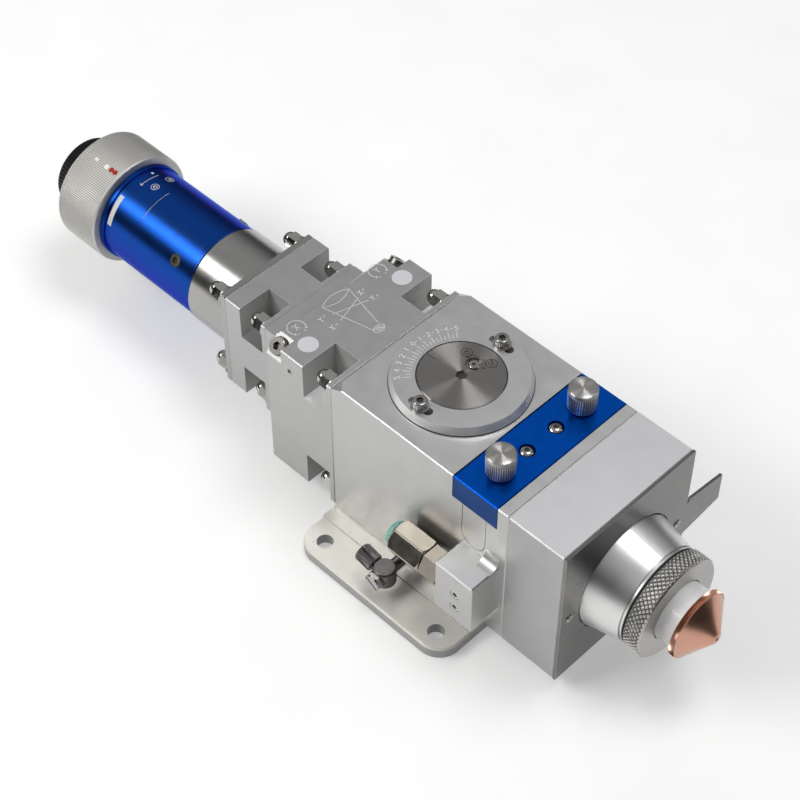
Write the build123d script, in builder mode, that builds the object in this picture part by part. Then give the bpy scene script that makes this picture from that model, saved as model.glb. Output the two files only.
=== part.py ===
from build123d import *
from math import cos, pi, radians, sin, sqrt
import os

os.makedirs("parts", exist_ok=True)

# Clearances
fit_gap = 0.05
thread_gap = 0.08
turn_gap = 0.3
slide_gap = 0.25
seat_gap = 0.1
hole_past = 0.5
screw_edge = 0.2

# Mounting plate
plate_l = 78.0
plate_w = 112.5
plate_t = 5.0
plate_corner_r = 9.5
plate_edge = 0.7
pad_w = 81.0
pad_h = 0.6
bolt_dx = 59.0
bolt_dy = 97.0
bolt_hole_r = 3.3

# Beam axis and lengths along it
beam_z = 39.5
nozzle_block_l = 25.3
front_plate_t = 1.2
adjuster_l = 34.8
boss_l = 12.2
rear_block_l = 23.0
tube_flange_t = 3.1
tube_l = 23.6
barrel_l = 54.7
fibre_ring_l = 23.5
cap_l = 11.9

# Body section
body_w = 68.0
body_h = 71.0
bevel_run = 2.6
snip_w = 3.4
snip_l = 3.5
edge_break = 0.4

# Focus carriage and lens
carriage_r = 18.7
carriage_l = 24.0
focus_travel = 5.0
end_room = 1.5
focus_bore_r = 12.5
focus_lens_r = 15.0
focus_lens_t = 5.5
focus_ring_t = 2.5
focus_ring_r = 13.0
focus_curve = 80.0
spanner_w = 2.0
spanner_depth = 0.9
light_r = 12.0

# Focus dial
dial_inset = 32.9
dial_r = 16.5
dial_t = 3.0
dial_edge = 0.3
hub_r = 9.7
pin_r = 2.0
pin_grip = 4.0
pin_seat = 6.0
dial_half_turn = 45.0
pin_room = 0.5
slot_depth = 4.4
dial_hex_af = 4.0
dial_hex_depth = 2.4
lock_x = -0.6
lock_y = 7.1
lock_pocket_r = 3.2
lock_pocket_depth = 1.4
lock_head_r = 2.0
lock_head_h = 1.2
lock_hex_af = 1.5
lock_shank_r = 1.25
lock_above_pin = 6.5

# Scale ring
scale_r = 26.5
scale_top_r = 25.2
scale_t = 3.3
scale_lip = 0.9
scale_slot_r = 21.4
scale_slot_w = 3.6
scale_slot_deg = 20.0
scale_screw_r = 1.5
scale_screw_l = 8.0
scale_head_r = 2.75
scale_head_h = 3.0
scale_hex_af = 2.5
washer_r = 3.5
washer_t = 0.6

# Window drawer
dial_gap = 1.95
front_web = 5.15
slot_t = 11.5
slot_centre_z = 51.4
cover_l = 21.0
cover_h = 11.2
tongue_r = 17.5
cover_edge = 0.4
window_r = 13.0
window_t = 4.0
window_ring_t = 1.8
window_hole_r = 11.0
window_seal_r = 14.4
window_seal_wire_r = 0.7
window_seal_squeeze = 0.15
window_seal_side = 0.05
cover_screw_y = 7.6
cover_screw_r = 1.5
cover_screw_l = 16.0
cover_hex_af = 2.0
cover_head_r = 2.85
cover_head_h = 1.65
cover_head_side = 0.4
cover_head_flat_r = 1.15
cover_dome_r = 2.34
cover_pocket_r = 3.1
cover_pocket_depth = 1.2
knob_inset = 12.7
knob_r = 5.5
knob_h = 10.0
knob_lift = 0.3
knob_edge = 0.6
knob_shank_r = 2.0
knob_bite = 8.0

# Nozzle end
cone_base_r = 24.1
cone_tip_r = 20.6
cone_l = 16.0
cone_groove_r = 19.5
cone_groove_w = 0.6
cone_band_r = 20.3
cone_band_w = 1.2
cone_neck_r = 17.0
cone_neck_l = 2.0
cone_bore_r = 8.0
spigot_r = 18.0
spigot_l = 9.0
front_bore_r = 10.0
lock_r = 21.1
lock_l_x = 7.5
lock_wall = 1.6
lock_edge = 0.5
ceramic_r = 12.25
ceramic_collar_r = 15.4
ceramic_collar_l = 3.9
ceramic_nose_l = 9.1
ceramic_bore_r = 5.5
seal_r = 12.6
seal_wire_r = 0.9
nozzle_r = 14.0
nozzle_rim_t = 2.1
nozzle_tip_r = 2.2
nozzle_l = 10.4
nozzle_stem_l = 8.5
nozzle_cavity_r = 3.8
orifice_r = 0.75
orifice_l = 1.6
block_screw_inset = 8.0
block_screw_under = 1.0
block_screw_r = 2.0
block_screw_head_r = 3.5
block_screw_head_h = 4.0
block_screw_grip = 8.0
block_hex_af = 3.0
face_screw_inset = 4.5
face_screw_r = 0.9
face_screw_head_r = 1.6
face_screw_head_h = 0.5
face_hex_af = 0.9
face_screw_l = 5.0

# Pointer tab on the front plate
tab_root_low = 29.6
tab_root_high = 48.4
tab_tip_low = 32.4
tab_tip_high = 45.8
tab_reach = 20.6
tab_round = 2.2

# Adjuster block
adjuster_drop = 3.1
adjuster_rise = 1.4
notch = 17.0
notch_depth_z = 16.7
notch_l = 12.6
flange_t = 2.4
rear_bevel = 1.2
corner_flat = 7.0
corner_flat_l = 8.1
dimple_back = 12.7
dimple_drop = 8.1
dimple_r = 1.2
dimple_depth = 0.6
cell_room_r = 20.5
cell_room_l = 31.0
adjuster_bore_r = 13.0
sight_rear = 13.1
sight_inset = 9.4
sight_r = 4.0
sight_t = 2.0

# Rear block and boss
rear_w = 47.5
rear_h = 48.2
rear_mid_z = 38.6
rear_notch_y = 8.2
rear_notch_z = 15.5
rear_notch_l = 12.1
rear_bore_r = 7.0

# Lens centring parts
cell_r = 15.5
cell_l = 12.0
cell_bore_r = 11.0
cell_lens_r = 12.5
cell_lens_t = 5.0
cell_ring_t = 2.4
cell_ring_r = 11.6
cell_curve = 45.0
centring_travel = 0.5
slide_r = 18.6
slide_t = 4.0
key_w = 6.0
key_end = 0.5
key_h = 1.5
centring_head_r = 3.5
centring_head_l = 4.0
centring_stand = 2.4
centring_shank_r = 2.0
centring_play = 0.15
centring_pocket_r = 3.9
centring_hex_af = 3.0
plunger_r = 2.5
plunger_l = 7.5

# Flange studs, washers and cap nuts
stud_r = 2.0
front_stud_inset = 5.0
front_stud_drop = 4.25
rear_stud_inset = 4.15
rear_stud_drop = 4.5
stud_bite = 9.0
rear_stud_bite = 7.0
nut_af = 7.0
nut_hex_l = 4.6
nut_face_out = 0.2
nut_bevel = 1.75
nut_dome_r = 3.1
nut_l = 8.4
nut_wall = 1.2
stud_washer_r = 4.2
stud_washer_t = 0.8

# Collimator and fibre socket
tube_r = 21.6
tube_bore_r = 14.0
barrel_r = 21.0
barrel_rim_r = 21.7
barrel_rim_l = 2.2
barrel_nose_r = 20.4
barrel_nose_l = 2.0
barrel_spigot_r = 18.0
barrel_spigot_l = 8.0
barrel_bore_r = 10.0
tube_edge = 0.5
receiver_r = 17.0
receiver_front_l = 40.0
receiver_neck_r = 14.0
receiver_neck_l = 5.0
socket_r = 12.5
socket_l = 30.0
receiver_bore_r = 8.0
set_screw_back = 11.0
set_screw_first = -53.4
set_screw_count = 3
set_screw_r = 2.6
set_screw_l = 2.6
set_screw_stand = 0.5
set_screw_af = 2.5
set_screw_hex_depth = 1.4
fibre_ring_r = 24.9
fibre_ring_edge = 0.9
cap_r = 15.9
cap_rim_r = 16.6
cap_rim_l = 2.4
cap_wall = 1.85
cap_end_t = 1.8
cap_edge = 0.6

# Gas inlet on the left side
gas_back = 20.8
gas_l = 17.9
gas_w = 14.1
gas_z = 20.3
gas_h = 25.0
gas_edge = 0.5
gas_fillet_r = 5.0
gas_screw_forward = 10.0
gas_screw_rise = 11.3
gas_screw_step = 7.2
gas_screw_r = 1.25
gas_screw_head_r = 2.1
gas_screw_head_h = 2.0
gas_screw_hex_af = 2.0
gas_screw_bite = 6.0
port_out = 7.6
port_rise = 12.4
port_r = 4.5
port_depth = 7.5
passage_r = 1.0
fitting_af = 12.0
fitting_hex_l = 8.2
fitting_neck_r = 4.6
fitting_tail_l = 15.0
gas_nut_af = 13.0
gas_nut_l = 16.4
gas_nut_gap = 0.4
gas_nut_turn = 5.0
gas_nut_r = 7.3
gas_nut_edge = 0.8
gas_nut_dome = 2.0
gas_seal_r = 5.2
gas_seal_l = 2.2
gas_seal_edge = 0.45
tube_hole_r = 3.0
tube_hole_l = 14.0
gas_seal_hole_r = 3.3

# Elbow fitting on the left side
elbow_forward = 41.4
elbow_out = 14.2
elbow_z = 14.9
elbow_r = 4.6
elbow_low = 4.0
elbow_high = 3.4
elbow_round = 0.6
elbow_neck_r = 3.6
elbow_stem_r = 2.5
elbow_stem_bite = 6.0
elbow_collar_r = 3.6
elbow_collar_l = 2.4
elbow_leg_r = 2.6
elbow_leg_l = 11.3
elbow_tilt = 13.0
elbow_nut_r = 3.75
elbow_nut_l = 7.6
elbow_nut_start = 4.9
elbow_nut_lip = 1.0
elbow_nut_edge = 0.4
elbow_bore_r = 1.5
elbow_bore_l = 8.0
elbow_core_r = 0.9
plug_af = 6.8
plug_hex_l = 1.3
plug_rim_r = 3.4
plug_rim_t = 0.8
plug_slot_w = 0.8
plug_slot_depth = 0.6
plug_slot_turn = 32.0
plug_start = 4.8
plug_stem_l = 2.2
plug_stem_r = 2.0

# Plate screws
plate_screw_x = 25.0
plate_screw_inset = 12.0
plate_screw_r = 2.0
plate_screw_head_r = 4.0
plate_screw_sink = 0.15
plate_screw_hex_af = 2.5
plate_screw_hex_depth = 1.5
plate_screw_l = 12.0

# Derived places
body_z0 = plate_t + pad_h
body_z1 = body_z0 + body_h
half_w = body_w / 2
body_x0 = -plate_l / 2
dial_x = body_x0 + dial_inset
cover_x0 = dial_x + scale_r + dial_gap
drawer_x = cover_x0 + cover_l / 2
seam_x = cover_x0 + cover_l + front_web
body_l = seam_x - body_x0
nose_x = seam_x + nozzle_block_l
front_x = nose_x + front_plate_t
adjuster_x = body_x0 - adjuster_l
boss_x = adjuster_x - boss_l
rear_x = boss_x - rear_block_l
flange_x = rear_x - tube_flange_t
tube_x = flange_x - tube_l
barrel_x = tube_x - barrel_l
ring_x = barrel_x - fibre_ring_l
slot_half = slot_t / 2
tray_half = slot_half - slide_gap
slot_x0 = drawer_x - slot_half
slot_x1 = drawer_x + slot_half
cover_z0 = body_z1 - cover_h
knob_y = half_w - knob_inset
front_stud_y = half_w - front_stud_inset
rear_stud_y = rear_w / 2 - rear_stud_inset
rear_stud_z = rear_h / 2 - rear_stud_drop
block_screw_y = half_w - block_screw_inset
block_screw_z = cover_z0 - block_screw_under - block_screw_r - beam_z
face_screw_y = half_w - face_screw_inset
sight_x = adjuster_x + sight_rear
sight_y = half_w - sight_inset
plate_screw_y = half_w - plate_screw_inset
port_y = half_w + port_out
port_z = gas_z + port_rise
elbow_x = body_x0 + elbow_forward
elbow_y = half_w + elbow_out
gas_x = seam_x - gas_back
gas_screw_x = gas_x + gas_screw_forward
gas_screw_z = gas_z + gas_screw_rise
set_screw_x = tube_x - set_screw_back
tab_tip_y = half_w + tab_reach
nut_face_r = nut_af / 2 + nut_face_out
knob_hole_z = slot_centre_z - slot_half - knob_bite
knob_places = [(drawer_x, -knob_y), (drawer_x, knob_y)]
cover_screw_places = [(drawer_x, -cover_screw_y), (drawer_x, cover_screw_y)]
scale_screw_places = [(dial_x, -scale_slot_r), (dial_x, scale_slot_r)]
gas_screw_places = [
    (gas_screw_x, gas_screw_z - gas_screw_step / 2),
    (gas_screw_x, gas_screw_z + gas_screw_step / 2),
]
carriage_bore_r = carriage_r + turn_gap
carriage_end = dial_x + carriage_l / 2 + focus_travel + end_room
hub_z0 = beam_z + carriage_bore_r + pin_room
dial_z1 = body_z1 + turn_gap + dial_t
scale_z1 = body_z1 + scale_t
pin_throw = focus_travel / sin(radians(dial_half_turn))
lock_l = dial_z1 - lock_pocket_depth - hub_z0 - pin_seat - lock_above_pin
hub_bore_r = hub_r + turn_gap
focus_lens_x0 = dial_x + carriage_l / 2 - focus_lens_t - focus_ring_t
focus_pocket_x0 = focus_lens_x0 - seat_gap
adjuster_top_z = body_z1 - adjuster_drop
adjuster_z0 = body_z0 + adjuster_rise
adjuster_h = adjuster_top_z - adjuster_z0
adjuster_mid_z = adjuster_top_z - adjuster_h / 2
front_stud_z = adjuster_h / 2 - front_stud_drop
cone_front = nose_x + cone_l
neck_front = cone_front + cone_groove_w + cone_band_w + cone_neck_l
lock_x0 = neck_front - cone_neck_l + slide_gap
lock_x1 = lock_x0 + lock_l_x
collar_x0 = neck_front + seat_gap
collar_x1 = collar_x0 + ceramic_collar_l
ceramic_x1 = collar_x1 + ceramic_nose_l
nozzle_x0 = ceramic_x1 + seat_gap
nozzle_x1 = nozzle_x0 + nozzle_l
cell_room_x1 = boss_x + cell_room_l
slide_x1 = cell_room_x1 - turn_gap
slide_x0 = slide_x1 - slide_t
cell_x1 = slide_x0 - turn_gap
cell_x0 = cell_x1 - cell_l

# Shared planes and axes
beam_axis = Axis((0, 0, beam_z), (1, 0, 0))
beam = Plane(origin=(0, 0, beam_z), x_dir=(1, 0, 0), z_dir=(0, -1, 0))
dial_axis = Axis((dial_x, 0, 0), (0, 0, 1))
dial_plane = Plane(origin=(dial_x, 0, 0), x_dir=(1, 0, 0), z_dir=(0, -1, 0))


def across(x):
    return Plane(origin=(x, 0, beam_z), x_dir=(0, 1, 0), z_dir=(1, 0, 0))


def lens_drop(radius, curve):
    return curve - sqrt(curve**2 - radius**2)


def stud_face(x, z):
    return Plane(origin=(x, 0, z), x_dir=(0, 1, 0), z_dir=(-1, 0, 0))


def gas_plane(x):
    return Plane(origin=(x, -port_y, port_z), x_dir=(0, 1, 0), z_dir=(-1, 0, 0))


def cap_screw(shank_r, shank_l, head_r, head_h, hex_af):
    with BuildPart() as screw:
        with BuildSketch(Plane.XZ):
            with BuildLine():
                Polyline(
                    (0, -shank_l),
                    (shank_r, -shank_l),
                    (shank_r, 0),
                    (head_r, 0),
                    (head_r, head_h - screw_edge),
                    (head_r - screw_edge, head_h),
                    (0, head_h),
                    close=True,
                )
            make_face()
        revolve(axis=Axis.Z)
        with BuildSketch(Plane.XY.offset(head_h)):
            RegularPolygon(radius=hex_af / 2, side_count=6, major_radius=False)
        extrude(amount=-head_h / 2, mode=Mode.SUBTRACT)
    return screw.part


# Mounting plate
with BuildPart() as mounting_plate:
    with BuildSketch():
        RectangleRounded(plate_l, plate_w, plate_corner_r)
    extrude(amount=plate_t)
    chamfer(mounting_plate.edges().group_by(Axis.Z)[-1], length=plate_edge)
    with BuildSketch(Plane.XY.offset(plate_t)):
        Rectangle(plate_l, pad_w)
    extrude(amount=pad_h)
    with GridLocations(bolt_dx, bolt_dy, 2, 2):
        Hole(radius=bolt_hole_r)
    with Locations(Location((0, 0, 0), (180, 0, 0))):
        with GridLocations(2 * plate_screw_x, 2 * plate_screw_y, 2, 2):
            CounterSinkHole(
                radius=plate_screw_r + thread_gap,
                counter_sink_radius=plate_screw_head_r + plate_screw_sink + seat_gap,
                counter_sink_angle=90,
            )
mounting_plate.part.label = "mounting_plate"
export_step(mounting_plate.part, "parts/mounting_plate.step")

# Countersunk screws that hold the plate to the body
with BuildPart() as plate_screw:
    with BuildSketch(Plane.XZ):
        with BuildLine():
            Polyline(
                (0, plate_screw_sink),
                (plate_screw_head_r, plate_screw_sink),
                (plate_screw_r, plate_screw_sink + plate_screw_head_r - plate_screw_r),
                (plate_screw_r, plate_screw_l),
                (0, plate_screw_l),
                close=True,
            )
        make_face()
    revolve(axis=Axis.Z)
    with BuildSketch(Plane.XY.offset(plate_screw_sink)):
        RegularPolygon(radius=plate_screw_hex_af / 2, side_count=6, major_radius=False)
    extrude(amount=plate_screw_hex_depth, mode=Mode.SUBTRACT)
with BuildPart() as plate_screws:
    with GridLocations(2 * plate_screw_x, 2 * plate_screw_y, 2, 2):
        add(plate_screw.part)
plate_screws.part.label = "plate_screws"
export_step(plate_screws.part, "parts/plate_screws.step")

# Main body
with BuildPart() as main_body:
    with BuildSketch(Plane.XY.offset(body_z0)):
        with Locations((body_x0 + body_l / 2, 0)):
            Rectangle(body_l, body_w)
    extrude(amount=body_h)
    chamfer(main_body.edges(), length=edge_break)
    # Bevel along the top rear edge, and a snip at each of its ends
    bevel_plane = Plane(
        origin=(body_x0 + bevel_run, 0, body_z1),
        x_dir=(0, 1, 0),
        z_dir=(-adjuster_drop, 0, bevel_run),
    )
    with BuildSketch(bevel_plane):
        Rectangle(body_w, 2 * adjuster_drop + 2 * bevel_run)
    extrude(amount=adjuster_drop, mode=Mode.SUBTRACT)
    for side in (-1, 1):
        along_snip = Vector(-bevel_run - snip_l, 0, -adjuster_drop)
        across_snip = Vector(-snip_l, -side * snip_w, 0)
        snip_plane = Plane(
            origin=(body_x0 + bevel_run + snip_l, side * half_w, body_z1),
            x_dir=along_snip,
            z_dir=along_snip.cross(across_snip) * side,
        )
        with BuildSketch(snip_plane):
            Rectangle(half_w, half_w)
        extrude(amount=adjuster_drop, mode=Mode.SUBTRACT)
    # Bore of the focus carriage and the light path
    with BuildSketch(beam):
        with BuildLine():
            Polyline(
                (body_x0, 0),
                (body_x0, carriage_bore_r),
                (carriage_end, carriage_bore_r),
                (carriage_end, light_r),
                (drawer_x, light_r),
                (drawer_x, front_bore_r),
                (seam_x, front_bore_r),
                (seam_x, 0),
                close=True,
            )
        make_face()
    revolve(axis=beam_axis, mode=Mode.SUBTRACT)
    # Hub hole under the dial
    with BuildSketch(Plane.XY.offset(beam_z)):
        with Locations((dial_x, 0)):
            Circle(hub_bore_r)
    extrude(amount=body_z1 - beam_z, mode=Mode.SUBTRACT)
    # Step for the drawer cover
    with BuildSketch(Plane.XY.offset(cover_z0)):
        with Locations((drawer_x, 0)):
            Rectangle(cover_l + 2 * slide_gap, body_w)
    extrude(amount=cover_h, mode=Mode.SUBTRACT)
    # Drawer slot through both sides with a round bottom
    with BuildSketch(Plane.XZ):
        with BuildLine():
            Polyline(
                (slot_x0, slot_centre_z),
                (slot_x0, cover_z0),
                (slot_x1, cover_z0),
                (slot_x1, slot_centre_z),
            )
            ThreePointArc(
                (slot_x1, slot_centre_z),
                (drawer_x, slot_centre_z - slot_half),
                (slot_x0, slot_centre_z),
            )
        make_face()
    extrude(amount=half_w, both=True, mode=Mode.SUBTRACT)
    # Slot of the window tongue
    with BuildSketch(across(slot_x0)):
        Circle(tongue_r + turn_gap)
        with Locations((0, (slot_centre_z - beam_z) / 2)):
            Rectangle(2 * (tongue_r + turn_gap), slot_centre_z - beam_z)
    extrude(amount=slot_t, mode=Mode.SUBTRACT)
    # Threaded holes for the thumb screws
    with BuildSketch(Plane.XY.offset(knob_hole_z - hole_past)):
        with Locations(knob_places):
            Circle(knob_shank_r + thread_gap)
    extrude(amount=knob_bite + slot_half, mode=Mode.SUBTRACT)
    # Threaded holes for the scale ring, the flange studs and the nozzle block
    with Locations(Plane.XY.offset(body_z1)):
        with Locations(scale_screw_places):
            Hole(radius=scale_screw_r + thread_gap, depth=scale_screw_l)
    with Locations(Plane(origin=(body_x0, 0, adjuster_mid_z), x_dir=(0, 1, 0), z_dir=(-1, 0, 0))):
        with GridLocations(2 * front_stud_y, 2 * front_stud_z, 2, 2):
            Hole(radius=stud_r + thread_gap, depth=stud_bite + hole_past)
    with Locations(across(seam_x)):
        with GridLocations(2 * block_screw_y, 2 * block_screw_z, 2, 2):
            Hole(radius=block_screw_r + thread_gap, depth=block_screw_grip + hole_past)
    # Holes on the left side for the gas block and the elbow
    with Locations(Plane(origin=(0, -half_w, 0), x_dir=(1, 0, 0), z_dir=(0, -1, 0))):
        with Locations(gas_screw_places):
            Hole(radius=gas_screw_r + thread_gap, depth=gas_screw_bite + hole_past)
        with Locations((elbow_x, elbow_z)):
            Hole(radius=elbow_stem_r + fit_gap, depth=elbow_stem_bite + hole_past)
        with Locations((gas_x + gas_l - 2 * passage_r, port_z)):
            Hole(radius=passage_r, depth=half_w)
    # Threaded holes for the plate screws
    with Locations(Location((0, 0, body_z0), (180, 0, 0))):
        with GridLocations(2 * plate_screw_x, 2 * plate_screw_y, 2, 2):
            Hole(radius=plate_screw_r + thread_gap, depth=plate_screw_l)
main_body.part.label = "main_body"
export_step(main_body.part, "parts/main_body.step")

# Focus carriage with its cross slot
with BuildPart() as lens_carriage:
    with BuildSketch(beam):
        with BuildLine():
            Polyline(
                (dial_x - carriage_l / 2, focus_bore_r),
                (dial_x - carriage_l / 2, carriage_r),
                (dial_x + carriage_l / 2, carriage_r),
                (dial_x + carriage_l / 2, focus_lens_r + fit_gap),
                (focus_pocket_x0, focus_lens_r + fit_gap),
                (focus_pocket_x0, focus_bore_r),
                close=True,
            )
        make_face()
    revolve(axis=beam_axis)
    with BuildSketch(Plane.XY.offset(beam_z + carriage_r - slot_depth)):
        with Locations((dial_x, 0)):
            Rectangle(2 * (pin_r + pin_room), 2 * carriage_r)
    extrude(amount=slot_depth, mode=Mode.SUBTRACT)
lens_carriage.part.label = "lens_carriage"
export_step(lens_carriage.part, "parts/lens_carriage.step")

# Focusing lens, flat at the back and curved at the front
with BuildPart() as focusing_lens:
    with BuildSketch(across(focus_lens_x0)):
        Circle(focus_lens_r)
    extrude(amount=focus_lens_t)
    with Locations((focus_lens_x0 + focus_lens_t - focus_curve, 0, beam_z)):
        Sphere(radius=focus_curve, mode=Mode.INTERSECT)
focusing_lens.part.label = "focusing_lens"
export_step(focusing_lens.part, "parts/focusing_lens.step")

# Threaded ring that holds the focusing lens
focus_ring_x0 = focus_lens_x0 + focus_lens_t - lens_drop(focus_ring_r, focus_curve) + seat_gap
focus_ring_x1 = dial_x + carriage_l / 2
with BuildPart() as focus_lens_ring:
    with BuildSketch(across(focus_ring_x0)):
        Circle(focus_lens_r)
        Circle(focus_ring_r, mode=Mode.SUBTRACT)
    extrude(amount=focus_ring_x1 - focus_ring_x0)
    with BuildSketch(across(focus_ring_x1)):
        Rectangle(2 * focus_lens_r, spanner_w)
    extrude(amount=-spanner_depth, mode=Mode.SUBTRACT)
focus_lens_ring.part.label = "focus_lens_ring"
export_step(focus_lens_ring.part, "parts/focus_lens_ring.step")

# Focus dial with its hub
with BuildPart() as focus_dial:
    with BuildSketch(dial_plane):
        with BuildLine():
            Polyline(
                (0, hub_z0),
                (hub_r, hub_z0),
                (hub_r, body_z1 + turn_gap),
                (dial_r, body_z1 + turn_gap),
                (dial_r, dial_z1 - dial_edge),
                (dial_r - dial_edge, dial_z1),
                (0, dial_z1),
                close=True,
            )
        make_face()
    revolve(axis=dial_axis)
    with BuildSketch(Plane.XY.offset(dial_z1)):
        with Locations((dial_x, 0)):
            RegularPolygon(radius=dial_hex_af / 2, side_count=6, major_radius=False)
    extrude(amount=-dial_hex_depth, mode=Mode.SUBTRACT)
    with Locations((dial_x + lock_x, lock_y, dial_z1)):
        CounterBoreHole(
            radius=lock_shank_r + thread_gap,
            counter_bore_radius=lock_pocket_r,
            counter_bore_depth=lock_pocket_depth,
            depth=lock_pocket_depth + lock_l + seat_gap,
        )
    with BuildSketch(Plane.XY.offset(hub_z0)):
        with Locations((dial_x, pin_throw)):
            Circle(pin_r + fit_gap)
    extrude(amount=pin_seat, mode=Mode.SUBTRACT)
focus_dial.part.label = "focus_dial"
export_step(focus_dial.part, "parts/focus_dial.step")

# Small screw in the dial's pocket
with BuildPart() as dial_lock_screw:
    with Locations((dial_x + lock_x, lock_y, dial_z1 - lock_pocket_depth)):
        add(cap_screw(lock_shank_r, lock_l, lock_head_r, lock_head_h, lock_hex_af))
dial_lock_screw.part.label = "dial_lock_screw"
export_step(dial_lock_screw.part, "parts/dial_lock_screw.step")

# Eccentric pin under the hub
with BuildPart() as focus_pin:
    with BuildSketch(Plane.XY.offset(hub_z0 - pin_grip)):
        with Locations((dial_x, pin_throw)):
            Circle(pin_r)
    extrude(amount=pin_grip + pin_seat - seat_gap)
focus_pin.part.label = "focus_pin"
export_step(focus_pin.part, "parts/focus_pin.step")

# Scale ring with two arc slots
with BuildPart() as scale_ring:
    with BuildSketch(dial_plane):
        with BuildLine():
            Polyline(
                (dial_r + turn_gap, body_z1),
                (scale_r, body_z1),
                (scale_r, body_z1 + scale_lip),
                (scale_top_r, scale_z1),
                (dial_r + turn_gap, scale_z1),
                close=True,
            )
        make_face()
    revolve(axis=dial_axis)
    with BuildSketch(Plane.XY.offset(body_z1)):
        with Locations(Location((dial_x, 0, 0)), Location((dial_x, 0, 0), (0, 0, 180))):
            SlotArc(
                CenterArc((0, 0), scale_slot_r, 90 - scale_slot_deg / 2, scale_slot_deg, mode=Mode.PRIVATE),
                height=scale_slot_w,
            )
    extrude(amount=scale_t, mode=Mode.SUBTRACT)
scale_ring.part.label = "scale_ring"
export_step(scale_ring.part, "parts/scale_ring.step")

# Screws that hold the scale ring
scale_shank_l = washer_t + scale_t + scale_screw_l - hole_past
scale_screw = cap_screw(scale_screw_r, scale_shank_l, scale_head_r, scale_head_h, scale_hex_af)
with BuildPart() as scale_screws:
    with Locations(Plane.XY.offset(scale_z1 + washer_t)):
        with Locations(scale_screw_places):
            add(scale_screw)
scale_screws.part.label = "scale_screws"
export_step(scale_screws.part, "parts/scale_screws.step")

# Washers under the scale ring's screws
with BuildPart() as scale_washers:
    with BuildSketch(Plane.XY.offset(scale_z1)):
        with Locations(scale_screw_places):
            Circle(washer_r)
            Circle(scale_screw_r + fit_gap, mode=Mode.SUBTRACT)
    extrude(amount=washer_t)
scale_washers.part.label = "scale_washers"
export_step(scale_washers.part, "parts/scale_washers.step")

# Window drawer: tray with a round bottom and a round tongue
tray_x0 = drawer_x - tray_half
tray_x1 = drawer_x + tray_half
with BuildPart() as drawer_tray:
    with BuildSketch(Plane.XZ):
        with BuildLine():
            Polyline(
                (tray_x0, slot_centre_z),
                (tray_x0, cover_z0),
                (tray_x1, cover_z0),
                (tray_x1, slot_centre_z),
            )
            ThreePointArc(
                (tray_x1, slot_centre_z),
                (drawer_x, slot_centre_z - tray_half),
                (tray_x0, slot_centre_z),
            )
        make_face()
    extrude(amount=half_w, both=True)
    with BuildSketch(across(tray_x0)):
        Circle(tongue_r)
        with Locations((0, (slot_centre_z - beam_z) / 2)):
            Rectangle(2 * tongue_r, slot_centre_z - beam_z)
    extrude(amount=2 * tray_half)
    # Window pocket from the front and the clear opening
    with Locations(across(tray_x1)):
        CounterBoreHole(
            radius=window_hole_r,
            counter_bore_radius=window_r + fit_gap,
            counter_bore_depth=window_t + window_ring_t + seat_gap,
        )
    # Grooves of the two seals
    groove = window_seal_wire_r + window_seal_side
    groove_depth = 2 * window_seal_wire_r - window_seal_squeeze + window_seal_side
    with BuildSketch(across(tray_x0)):
        Circle(window_seal_r + groove)
        Circle(window_seal_r - groove, mode=Mode.SUBTRACT)
    extrude(amount=groove_depth, mode=Mode.SUBTRACT)
    with BuildSketch(across(tray_x1)):
        Circle(window_seal_r + groove)
        Circle(window_seal_r - groove, mode=Mode.SUBTRACT)
    extrude(amount=-groove_depth, mode=Mode.SUBTRACT)
    # Holes for the cover screws and the thumb screws
    with Locations(Plane.XY.offset(cover_z0)):
        with Locations(cover_screw_places):
            Hole(
                radius=cover_screw_r + thread_gap,
                depth=cover_screw_l - cover_h + cover_pocket_depth + seat_gap,
            )
        with Locations(knob_places):
            Hole(radius=knob_shank_r + fit_gap)
drawer_tray.part.label = "drawer_tray"
export_step(drawer_tray.part, "parts/drawer_tray.step")

# Cover of the drawer
with BuildPart() as drawer_cover:
    with BuildSketch(Plane.XY.offset(cover_z0 + seat_gap)):
        with Locations((drawer_x, 0)):
            Rectangle(cover_l, body_w)
    extrude(amount=cover_h - seat_gap)
    chamfer(drawer_cover.edges().group_by(Axis.Z)[-1], length=cover_edge)
    with Locations(Plane.XY.offset(body_z1)):
        with Locations(cover_screw_places):
            CounterBoreHole(
                radius=cover_screw_r + thread_gap,
                counter_bore_radius=cover_pocket_r,
                counter_bore_depth=cover_pocket_depth,
            )
        with Locations(knob_places):
            Hole(radius=knob_shank_r + fit_gap)
drawer_cover.part.label = "drawer_cover"
export_step(drawer_cover.part, "parts/drawer_cover.step")

# Protective window
window_x0 = tray_x1 - window_ring_t - window_t - seat_gap / 2
with BuildPart() as protective_window:
    with BuildSketch(across(window_x0)):
        Circle(window_r)
    extrude(amount=window_t)
protective_window.part.label = "protective_window"
export_step(protective_window.part, "parts/protective_window.step")

# Ring that holds the protective window
with BuildPart() as window_ring:
    with BuildSketch(across(tray_x1 - window_ring_t)):
        Circle(window_r)
        Circle(window_hole_r, mode=Mode.SUBTRACT)
    extrude(amount=window_ring_t)
    with BuildSketch(across(tray_x1)):
        Rectangle(2 * window_r, spanner_w)
    extrude(amount=-spanner_depth, mode=Mode.SUBTRACT)
window_ring.part.label = "window_ring"
export_step(window_ring.part, "parts/window_ring.step")

# Seals on both sides of the window tongue
seal_in = window_seal_wire_r - window_seal_squeeze
with BuildPart() as window_seals:
    with BuildSketch(beam):
        with Locations((tray_x0 + seal_in, window_seal_r), (tray_x1 - seal_in, window_seal_r)):
            Circle(window_seal_wire_r)
    revolve(axis=beam_axis)
window_seals.part.label = "window_seals"
export_step(window_seals.part, "parts/window_seals.step")

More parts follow.
